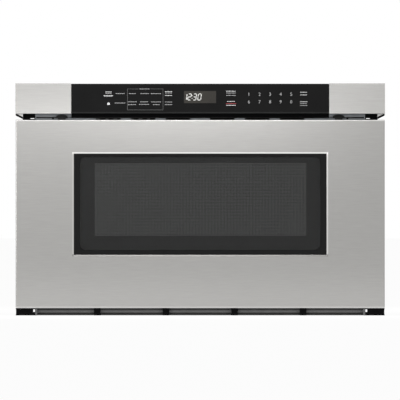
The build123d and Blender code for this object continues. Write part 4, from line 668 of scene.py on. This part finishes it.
rise = np.linspace(-1, 1, ARC_POINTS)
hollow_x = GRILLE_HALF - PAD_EDGE - PAD_HOLLOW * (1 - rise**2)
pad = list(zip(hollow_x, GRILLE_TOP / 2 + rise * (GRILLE_TOP / 2 - PAD_EDGE)))
pad += [(GRILLE_HALF - PAD_THICK, pad[-1][1]), (GRILLE_HALF - PAD_THICK, pad[0][1])]
lining_in, lining_out, lining_high = SLOT_INNER + LINING, SLOT_OUTER - LINING, SLOT_HIGH - LINING_TOP
lining = [(SLOT_INNER, SLOT_LOW), (lining_in, SLOT_LOW), (lining_in, lining_high),
          (lining_out, lining_high), (lining_out, SLOT_LOW), (SLOT_OUTER, SLOT_LOW),
          (SLOT_OUTER, SLOT_HIGH), (SLOT_INNER, SLOT_HIGH)]
clip_from, clip_to = SLOT_INNER - CLIP_WIDTH, SLOT_INNER + CLIP_LAP
clip = [(clip_from, CLIP_EDGE), (clip_to, CLIP_EDGE), (clip_to, GRILLE_TOP - CLIP_EDGE),
        (clip_from, GRILLE_TOP - CLIP_EDGE)]
# The clips wear the channel's darker steel, which is painted shade.
for name, outline, start, depth, slot, finish in (
        ("grille_end_pads", pad, RECESS, BLOCK_DEPTH, "black_plastic", None),
        ("grille_slot_linings", lining, RECESS, BLOCK_DEPTH, "black_plastic", None),
        ("grille_clips", clip, -CLIP_SHEET, CLIP_SHEET, "galvanised_steel", SHADED_CHANNEL_STEEL)):
    shape = prism(upright(outline, GRILLE_FRONT_Y + start), (0, depth, 0))
    piece(name, *both_sides(*shape), slot, "chassis", finish=finish)

# %% [markdown]
# A pleated black sheet at the end of the exhaust duct is painted shade: it stands for the shade deep in the
# duct, so no daylight shows through the notches. Its fold is a zigzag line seen from above, made thick and
# drawn up to the duct's height. The two ends of the bar are strips of quads here, because one face with
# that many corners would be filled wrongly.

# %% Black sheet in the duct, painted shade
DUCT_LOW, DUCT_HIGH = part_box("exhaust_duct")
PLEAT = 6.0 * MM
SHEET = 1.0 * MM
SIDE_GAP = 2 * SHEET
END_GAP = 1.2 * SHEET

folds = np.arange(DUCT_LOW.x + SIDE_GAP, DUCT_HIGH.x - SIDE_GAP, PLEAT / 2)
depth = DUCT_HIGH.y - 2 * PLEAT + PLEAT * (np.arange(len(folds)) % 2)
front_line = np.stack([folds, depth, np.full(len(folds), DUCT_LOW.z + END_GAP)], -1)
zigzag = np.concatenate([front_line, (front_line + (0, SHEET, 0))[::-1]])
points, faces = prism(zigzag, (0, 0, DUCT_HIGH.z - DUCT_LOW.z - 2 * END_GAP))
last = len(zigzag) - 1
bottom_quads = [[k, k + 1, last - 1 - k, last - k] for k in range(len(folds) - 1)]
top_quads = [[v + last + 1 for v in quad[::-1]] for quad in bottom_quads]
# This black sheet is painted shade for the inside of the duct.
piece("duct_shade_sheet", points, faces[2:] + bottom_quads + top_quads, "black_plastic", "chassis")

# %% [markdown]
# Screws hold the case together. A pan head is forged cold in a round die that also punches its cross, so
# it is a profile turned round its axis: a flat middle with the recess, a rounded shoulder and a rim. The
# cross could be cut with a boolean. Here four of the sixteen columns stay down on its floor, which reads
# the same at this size.

# %% One screw head
HEAD_COLUMNS = 16
CROSS_FLOOR, CROSS_REACH, CROSS_ROOT = 0.45, 0.40, 0.16
# Radius and height of each ring, as shares of the head's radius and height.
HEAD_PROFILE = np.array([
    (0.10, CROSS_FLOOR), (CROSS_REACH, CROSS_FLOOR), (0.44, 1.00), (0.62, 0.98), (0.84, 0.80), (0.97, 0.48),
    (1.00, 0.0)])


def screw_head(radius, height):
    """The profile turned round z: (r cos a, r sin a, h). Between the arms, ring 1 is up and further in."""
    angle = np.arange(HEAD_COLUMNS) * 2 * math.pi / HEAD_COLUMNS
    r, h = (np.repeat(v[:, None], HEAD_COLUMNS, 1) for v in HEAD_PROFILE.T)
    between = np.arange(HEAD_COLUMNS) % 4 != 0
    r[1, between], h[1, between] = CROSS_ROOT, 1.0
    points = np.stack([r * np.cos(angle) * radius, r * np.sin(angle) * radius, h * height], -1)
    i, j = np.meshgrid(np.arange(len(HEAD_PROFILE) - 1), np.arange(HEAD_COLUMNS), indexing="ij")
    k = (j + 1) % HEAD_COLUMNS
    ring, outer = i * HEAD_COLUMNS, (i + 1) * HEAD_COLUMNS
    faces = np.stack([outer + j, outer + k, ring + k, ring + j], -1).reshape(-1, 4).tolist()
    rim = (len(HEAD_PROFILE) - 1) * HEAD_COLUMNS
    caps = [list(range(HEAD_COLUMNS)), list(range(rim + HEAD_COLUMNS - 1, rim - 1, -1))]
    return points.reshape(-1, 3), faces + caps


print("screw head's points:", len(screw_head(1, 1)[0]))

# %% [markdown]
# The same head sits at every screw's place, turned so that its axis points out of the sheet. The rows
# start near the corners and go on in about even steps. One small black screw more holds each bracket in
# the gap over the drawer.

# %% Screws in the case and in the gap
REAR_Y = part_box("rear_panel")[1].y
CASE_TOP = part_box("outer_case")[1].z
# Radius and height of the heads in the gap, at the back, and on the case's sides and top.
GAP_HEAD, REAR_HEAD, CASE_HEAD = mm(1.9, 1.2), mm(3.6, 1.8), mm(3.6, 2.2)


def grid_places(xs, ys, zs):
    """Every place on a grid of x, y and z values."""
    return np.stack(np.meshgrid(xs, ys, zs, indexing="ij"), -1).reshape(-1, 3)


def screws(name, places, facing, radius, height, slot):
    """Screw heads at the places, turned so that their axis points along facing."""
    facing = np.asarray(facing, float)
    side = np.cross((0, 0, 1) if abs(facing[2]) < 0.5 else (0, 1, 0), facing)
    points, faces = screw_head(radius, height)
    turned = points @ np.stack([side, np.cross(facing, side), facing])
    heads = joined([(turned + place, faces) for place in places])
    return piece(name, *heads, slot, "chassis", smooth=True)


rear_rows = grid_places(mm(-262, 262), [REAR_Y], mm(30, 130, 240, 345))
rear_columns = grid_places(mm(-130, 0, 130), [REAR_Y], mm(12, 362))
gap_places = grid_places(mm(-241.7, 241.7), [FRAME_FACE_Y - 0.7 * MM], mm(323.8))
rear_places = np.concatenate([rear_rows, rear_columns])
screws("gap_screws", gap_places, (0, -1, 0), *GAP_HEAD, "black_paint")
screws("rear_screws", rear_places, (0, 1, 0), *REAR_HEAD, "zinc_plated_steel")
for name, end in (("left_screws", -1), ("right_screws", 1)):
    side_places = grid_places([end * CASE_HALF], mm(-245, 284), mm(30, 185, 345))
    screws(name, side_places, (end, 0, 0), *CASE_HEAD, "zinc_plated_steel")
top_places = grid_places(mm(-240, 0, 240), mm(-250, 284), [CASE_TOP])
screws("top_screws", top_places, (0, 0, 1), *CASE_HEAD, "zinc_plated_steel")

# %% [markdown]
# Behind the pane is a steel sheet with rows of small punched holes: light comes out, and microwaves
# don't. A picture of holes would vanish in the exported meshes, so these are cut for real. Real holes are
# nearer 1.5 mm apart, and these are 2.4 mm, which is still finer than two pixels. The sheet is a grid of
# straight lines both ways, and each second field is left open, so one cell is a square hole and its frame.
# Inside the pane's clear field the paint is paler, as a second finish on the same piece.

# %% Perforated screen
SCREEN_LOW, SCREEN_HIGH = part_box("window_screen")
SIGHT_HALF = 173.5 * MM
SIGHT_LOW, SIGHT_HIGH = 130.4 * MM, 249.4 * MM
HOLE_PITCH = 2.4 * MM
HOLE_SIDE = 1.5 * MM

FIELD_PAINT = surface(
    "grey_field_paint", powder_grain, ("#9C9C9C", "#A8A8A8"), (0.45, 0.55), bump_mm=0.01)


def cell_lines(start, end, low, high):
    """Two lines for each cell from start to about end, between the lines of the sheet's own edges."""
    count = round((end - start) / HOLE_PITCH)
    cells = start + (np.arange(count)[:, None] * HOLE_PITCH + np.array([0, HOLE_PITCH - HOLE_SIDE])).ravel()
    return np.concatenate([[low], cells + HOLE_SIDE / 2, [high]])


def pierced_sheet(xs, zs, y_front, y_back):
    """A sheet on the lines xs and zs: each second field both ways is left open, with walls in the holes."""
    grid_x, grid_z = np.meshgrid(xs, zs, indexing="ij")
    front = np.stack([grid_x, np.full_like(grid_x, y_front), grid_z], -1).reshape(-1, 3)
    back = front + (0, y_back - y_front, 0)
    n, m = grid_x.shape
    i, j = (field.ravel() for field in np.meshgrid(np.arange(n - 1), np.arange(m - 1), indexing="ij"))
    hole = (i % 2 == 0) & (j % 2 == 0) & (i > 0) & (i < n - 2) & (j > 0) & (j < m - 2)
    a, b, c, d = i * m + j, (i + 1) * m + j, (i + 1) * m + j + 1, i * m + j + 1
    faces = [np.stack([a, b, c, d], -1)[~hole], np.stack([d, c, b, a], -1)[~hole] + n * m]
    for p, q, outer in ((a, b, j == 0), (b, c, i == n - 2), (c, d, j == m - 2), (d, a, i == 0)):
        faces.append(np.stack([p, q, q + n * m, p + n * m], -1)[hole])
        faces.append(np.stack([q, p, p + n * m, q + n * m], -1)[outer])
    return np.concatenate([front, back]), np.concatenate(faces)


lines_x = cell_lines(-SIGHT_HALF, SIGHT_HALF, SCREEN_LOW.x, SCREEN_HIGH.x)
lines_z = cell_lines(SIGHT_LOW, SIGHT_HIGH, SCREEN_LOW.z, SCREEN_HIGH.z)
points, faces = pierced_sheet(lines_x, lines_z, SCREEN_LOW.y, SCREEN_HIGH.y)
screen = piece("perforated_window_screen", points, faces, "perforated_screen", "drawer")
screen.data.materials.append(FIELD_PAINT)
middles = points[faces].mean(1)
in_field = (abs(middles[:, 0]) < SIGHT_HALF) & (middles[:, 2] > SIGHT_LOW) & (middles[:, 2] < SIGHT_HIGH)
screen.data.polygons.foreach_set("material_index", in_field.astype(np.int32))
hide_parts("window_screen")
print("holes:", len(lines_x) // 2 - 2, "by", len(lines_z) // 2 - 2)

# %% [markdown]
# The panel's marks are white ink printed on the glass. Such print lies flat on a tilted face, so it is
# drawn in the panel's own two coordinates, across and up the slope, and one function carries it to its
# place. Another reads those coordinates from places in the picture, which is 400 pixels wide.

# %% Where the panel is
PANEL_TILT = math.radians(15)
PANEL_FOOT_Z = 331.3 * MM
PIXEL = 1.6403 * MM
MIDDLE_COLUMN = 200.2
FLOOR_ROW = 315.5
INK_LIFT = 0.05 * MM

glass_corners = np.array([v.co for v in NODES["panel_glass"].data.vertices])
panel_normal = np.array([0, -math.cos(PANEL_TILT), math.sin(PANEL_TILT)])
face_level = (glass_corners @ panel_normal).max()
PANEL_FOOT_Y = (math.sin(PANEL_TILT) * PANEL_FOOT_Z - face_level) / math.cos(PANEL_TILT)


def from_picture(column, row):
    """Across and up-the-slope distances on the panel, from a place in the picture."""
    column, row = np.broadcast_arrays(np.asarray(column, float), np.asarray(row, float))
    across = (column - MIDDLE_COLUMN) * PIXEL
    height = (FLOOR_ROW - row) * PIXEL
    return np.stack([across, (height - PANEL_FOOT_Z) / math.cos(PANEL_TILT)], -1)


def on_panel(flat, lift):
    """Points of the room from (across, up the slope) pairs, lifted off the glass along its normal."""
    flat = np.asarray(flat, float)
    y = PANEL_FOOT_Y + flat[..., 1] * math.sin(PANEL_TILT)
    z = PANEL_FOOT_Z + flat[..., 1] * math.cos(PANEL_TILT)
    return np.stack([flat[..., 0], y, z], -1) + lift * panel_normal


print("panel foot:", round(PANEL_FOOT_Y, 5), PANEL_FOOT_Z)

# %% [markdown]
# Screen-printed enamel is matte and a few hundredths of a millimetre thick, and its coverage varies a
# little. A picture on the glass could carry the print, but it would be lost in the exported meshes, so
# each mark is a thin closed plate: its flat faces in front, the same ones turned round behind, and walls.

# %% Ink and plates
INK_THICK = 0.04 * MM
blots = partial(noise, size_mm=1.5, detail=2.0)


def ink(name, thin, full):
    """Matte ink between its tones where it lies thin and full."""
    return surface(name, blots, (thin, full), (0.5, 0.6))


INK_DIM = ink("dim_white_ink", "#8C8C8C", "#9A9A9A")
INK_BRIGHT = ink("bright_white_ink", "#B8B8B8", "#C8C8C8")
INK_RED = ink("red_ink", "#7C181C", "#8C1D21")
INK_LINE = ink("grey_line_ink", "#525252", "#5E5E5E")


def thick(flat, faces):
    """A closed plate from flat faces on the panel: a front, a back, and a wall on each open edge."""
    n = len(flat)
    ways = {(a, b) for face in faces for a, b in zip(face, face[1:] + face[:1])}
    walls = [[b, a, a + n, b + n] for a, b in sorted(ways) if (b, a) not in ways]
    points = np.concatenate([on_panel(flat, INK_LIFT + INK_THICK), on_panel(flat, INK_LIFT)])
    return points, faces + [[v + n for v in face[::-1]] for face in faces] + walls


def plates(outlines):
    """One thin plate for each outline, which goes counter-clockwise as seen from the front."""
    return joined([thick(flat, [list(range(len(flat)))]) for flat in outlines])


def bar(left, right, low, high):
    """A rectangle's four corners, counter-clockwise as seen from the front."""
    return np.array([(left, low), (right, low), (right, high), (left, high)])


def mark(name, points, faces, tint):
    """A printed piece of the panel, in its own ink."""
    return piece(name, points, faces, "white_nylon", "chassis", finish=tint)


# %% [markdown]
# The words are left off. Each one is a row of short dashes of the same length and weight instead, which
# reads the same from a step away. The dashes are uneven, as words are, and repeat in one order.

# %% Word rows
DASH_GAP, DASH_PITCH = 0.45 * MM, 2.1 * MM
DASH_SHARES = (1.9, 1.3, 2.4, 1.1, 1.7)
DIM_STROKE, BRIGHT_STROKE = 0.95 * MM, 1.0 * MM
# First column, last column and row of each in the picture.
DIM_WORDS = (
    (115.7, 124.5, 93.5), (114.7, 125.3, 103.0), (129.0, 135.6, 93.6), (140.6, 148.6, 93.6),
    (151.0, 161.0, 93.6), (128.0, 136.6, 101.8), (128.0, 136.0, 104.6), (140.0, 147.8, 101.8),
    (139.0, 149.0, 104.4), (151.0, 161.0, 101.9), (153.0, 159.6, 104.6), (165.0, 172.0, 102.0),
    (165.0, 172.0, 104.6), (165.2, 171.8, 93.0), (226.2, 235.6, 93.0), (300.2, 307.2, 105.5),
    (139.6, 149.4, 88.9), (300.2, 306.6, 103.4), (226.2, 235.6, 95.4), (105.6, 111.4, 93.4),
    (104.0, 112.4, 96.3),
)
BRIGHT_WORDS = (
    (105.4, 111.6, 91.9), (103.6, 113.0, 95.5), (165.0, 172.0, 91.6), (165.0, 172.0, 95.5),
    (226.2, 235.6, 91.2), (227.0, 234.8, 101.4), (226.4, 235.6, 105.3), (300.2, 307.0, 92.2),
    (300.2, 307.0, 94.9), (300.2, 307.4, 101.7),
)


def word(column_from, column_to, row, stroke):
    """A row of dashes with uneven lengths that fills the space of a word."""
    (left, level), (right, _) = from_picture([column_from, column_to], row)
    count = max(2, round((right - left) / DASH_PITCH))
    shares = np.array([DASH_SHARES[k % len(DASH_SHARES)] for k in range(count)])
    lengths = shares / shares.sum() * (right - left - DASH_GAP * (count - 1))
    starts = left + np.concatenate([[0], np.cumsum(lengths + DASH_GAP)[:-1]])
    return [bar(a, a + b, level - stroke / 2, level + stroke / 2) for a, b in zip(starts, lengths)]


for name, words, stroke, tint in (("panel_word_rows", DIM_WORDS, DIM_STROKE, INK_DIM),
                                  ("panel_bright_rows", BRIGHT_WORDS, BRIGHT_STROKE, INK_BRIGHT)):
    dashes = [dash for place in words for dash in word(*place, stroke)]
    mark(name, *plates(dashes), tint)

# %% [markdown]
# Beside the words there is a padlock: a solid body and a bowed shackle. The shackle is a half ring from
# one angle that runs from 0 to pi, out along its outer edge and back along its inner one.

# %% Padlock
LOCK_COLUMN, LOCK_ROW = 108.5, 104.0
LOCK_WIDTH, LOCK_HEIGHT = 4.0 * MM, 2.7 * MM
SHACKLE_OUTER, SHACKLE_INNER = 1.5 * MM, 0.8 * MM

lock_x, lock_y = from_picture(LOCK_COLUMN, LOCK_ROW)
lock_top = lock_y + LOCK_HEIGHT / 2
turn = np.linspace(0, math.pi, ARC_POINTS)
arc = np.stack([np.cos(turn), np.sin(turn)], -1)
shackle = (lock_x, lock_top) + np.concatenate([arc * SHACKLE_OUTER, arc[::-1] * SHACKLE_INNER])
lock_body = bar(lock_x - LOCK_WIDTH / 2, lock_x + LOCK_WIDTH / 2, lock_y - LOCK_HEIGHT / 2, lock_top)
mark("panel_padlock", *plates([lock_body, shackle]), INK_BRIGHT)

# %% [markdown]
# A thin grey frame holds one group of keys together, with a break in its upper line where the group's
# title stands. It is five bars, since one outline with a hole in it couldn't be a single face.

# %% Frame round the keys
FRAME_LINE = 0.40 * MM
FRAME_COLUMNS, FRAME_ROWS = (127.4, 163.0), (88.9, 109.9)
TITLE_COLUMNS = (138.4, 150.6)

(left, top), (right, bottom) = from_picture(FRAME_COLUMNS, FRAME_ROWS)
title_left, title_right = from_picture(TITLE_COLUMNS, FRAME_ROWS[0])[:, 0]
half = FRAME_LINE / 2
key_frame = [
    bar(left, title_left, top - half, top + half),
    bar(title_right, right, top - half, top + half),
    bar(left, right, bottom - half, bottom + half),
    bar(left - half, left + half, bottom + half, top - half),
    bar(right - half, right + half, bottom + half, top - half),
]
mark("panel_key_frame", *plates(key_frame), INK_LINE)

# %% [markdown]
# The glass is ground off along its lower edge, which catches a little light there. The CAD solid has a
# sharp edge, so a thin strip with a finish of its own stands for the ground one.

# %% Ground edge of the panel glass
EDGE_LOW, EDGE_HIGH, EDGE_HALF = 0.4 * MM, 2.5 * MM, 211.2 * MM
GLASS_EDGE = surface(
    "ground_glass_edge", faint_haze, ("#171717", "#1C1C1C"), (0.30, 0.40), Specular_IOR_Level=0.1)
edge = plates([bar(-EDGE_HALF, EDGE_HALF, EDGE_LOW, EDGE_HIGH)])
piece("panel_glass_edge", *edge, "black_glass", "chassis", finish=GLASS_EDGE)

# %% [markdown]
# A red line runs under one of the words. It is printed in a second pass, with its own ink.

# %% Red line
RED_COLUMNS, RED_ROW = (226.0, 236.2), 103.6
RED_HALF = 0.5 * MM

(red_left, red_level), (red_right, _) = from_picture(RED_COLUMNS, RED_ROW)
red_line = bar(red_left, red_right, red_level - RED_HALF, red_level + RED_HALF)
mark("panel_red_line", *plates([red_line]), INK_RED)

# %% [markdown]
# The number keys are real digits. Blender's own font is a filled curve, so each digit is made as a text
# curve and turned into a mesh, and its points are then scaled to the key's height and carried to the
# panel. Ten digits drawn point by point would look worse.

# %% Number keys
KEY_COLUMNS = (248.9, 259.6, 270.1, 280.6, 291.2)
KEY_ROWS = (94.2, 101.8)
DIGIT_HEIGHT = 5.3 * MM


def digit_shape(text):
    """Points (across, up) and faces of one digit, 1 high and centred, from Blender's font."""
    curve = bpy.data.curves.new("digit", "FONT")
    curve.body = text
    curve.resolution_u = 3
    holder = bpy.data.objects.new("digit", curve)
    mesh = bpy.data.meshes.new_from_object(holder)
    points = np.zeros(len(mesh.vertices) * 3)
    mesh.vertices.foreach_get("co", points)
    points = points.reshape(-1, 3)[:, :2]
    faces = [list(face.vertices) for face in mesh.polygons]
    bpy.data.objects.remove(holder)
    bpy.data.curves.remove(curve)
    bpy.data.meshes.remove(mesh)
    low, high = points.min(0), points.max(0)
    return (points - (low + high) / 2) / (high[1] - low[1]), faces


digits = []
for k, text in enumerate("1234567890"):
    flat, faces = digit_shape(text)
    row, column = divmod(k, len(KEY_COLUMNS))
    middle = from_picture(KEY_COLUMNS[column], KEY_ROWS[row])
    digits.append(thick(flat * DIGIT_HEIGHT + middle, faces))
mark("panel_digits", *joined(digits), INK_DIM)

# %% [markdown]
# The clock shows through a smoked window in the print, a dark plate with rounded corners. A quarter
# circle at each corner, one after another, gives its outline.

# %% Clock window
LENS_COLUMNS, LENS_ROWS = (184.0, 216.1), (91.0, 103.1)
LENS_ROUND, ROUND_POINTS = 0.8 * MM, 5


def rounded(left, right, low, high, radius):
    """A rectangle's outline with a quarter circle at each corner, counter-clockwise."""
    middles = bar(left + radius, right - radius, low + radius, high - radius)
    parts = []
    for k, middle in enumerate(middles[[2, 3, 0, 1]]):
        angle = np.linspace(0, math.pi / 2, ROUND_POINTS) + k * math.pi / 2
        parts.append(middle + radius * np.stack([np.cos(angle), np.sin(angle)], -1))
    return np.concatenate(parts)


(left, top), (right, bottom) = from_picture(LENS_COLUMNS, LENS_ROWS)
lens_plate = plates([rounded(left, right, bottom, top, LENS_ROUND)])
piece("clock_window", *lens_plate, "display_lens", "chassis")

# %% [markdown]
# The clock's digits are seven-segment bars that lean a few degrees. Each segment is a thin hexagon from
# one corner of the figure 8 to the next, pointed at both ends. A font would also give digits, but not
# ones with gaps between their bars.

# %% Clock segments
CLOCK_LEAN = math.radians(8)
SEGMENT_HALF = 0.62 * MM
SEGMENT_GAP = 0.25 * MM
SEGMENT_LIFT = 0.06 * MM
# Corners of the figure 8, as shares of its width and height.
SEGMENTS = {
    "a": ((0, 1), (1, 1)), "b": ((1, 1), (1, 0.5)), "c": ((1, 0.5), (1, 0)), "d": ((0, 0), (1, 0)),
    "e": ((0, 0.5), (0, 0)), "f": ((0, 1), (0, 0.5)), "g": ((0, 0.5), (1, 0.5)),
}
LIT = {"0": "abcdef", "1": "bc", "2": "abged", "3": "abgcd"}
CLOCK_ROWS = (93.9, 100.0)
# Digit, first column and last column in the picture.
CLOCK = (("1", 185.6, 186.3), ("2", 187.6, 190.6), ("3", 193.0, 195.8), ("0", 197.6, 200.6))
COLON_COLUMN, COLON_ROWS = 192.1, (95.6, 98.4)


def segment(start, end):
    """A hexagon along the line from start to end, shortened by a gap and pointed at both ends."""
    way = (end - start) / np.linalg.norm(end - start)
    side = np.array([-way[1], way[0]]) * SEGMENT_HALF
    a, b = start + way * SEGMENT_GAP, end - way * SEGMENT_GAP
    tip = way * SEGMENT_HALF
    return np.array([a, a + tip - side, b - tip - side, b, b - tip + side, a + tip + side])


def clock_digit(text, column_from, column_to):
    """The lit segments of one digit. A point v of the height up moves right by v tan(lean)."""
    (left, high), (right, low) = from_picture([column_from, column_to], CLOCK_ROWS)
    lean = np.array([(right - left, 0), ((high - low) * math.tan(CLOCK_LEAN), high - low)])
    return [segment(*((left, low) + np.array(SEGMENTS[key]) @ lean)) for key in LIT[text]]


lit = [part for row in CLOCK for part in clock_digit(*row)]
for row in COLON_ROWS:
    x, y = from_picture(COLON_COLUMN, row)
    lit.append(bar(x - SEGMENT_HALF, x + SEGMENT_HALF, y - SEGMENT_HALF, y + SEGMENT_HALF))
INK_GLOW = ink("lit_clock_segments", "#C4C4C0", "#CECECA")
points, faces = plates(lit)
mark("clock_segments", points + SEGMENT_LIFT * panel_normal, faces, INK_GLOW)
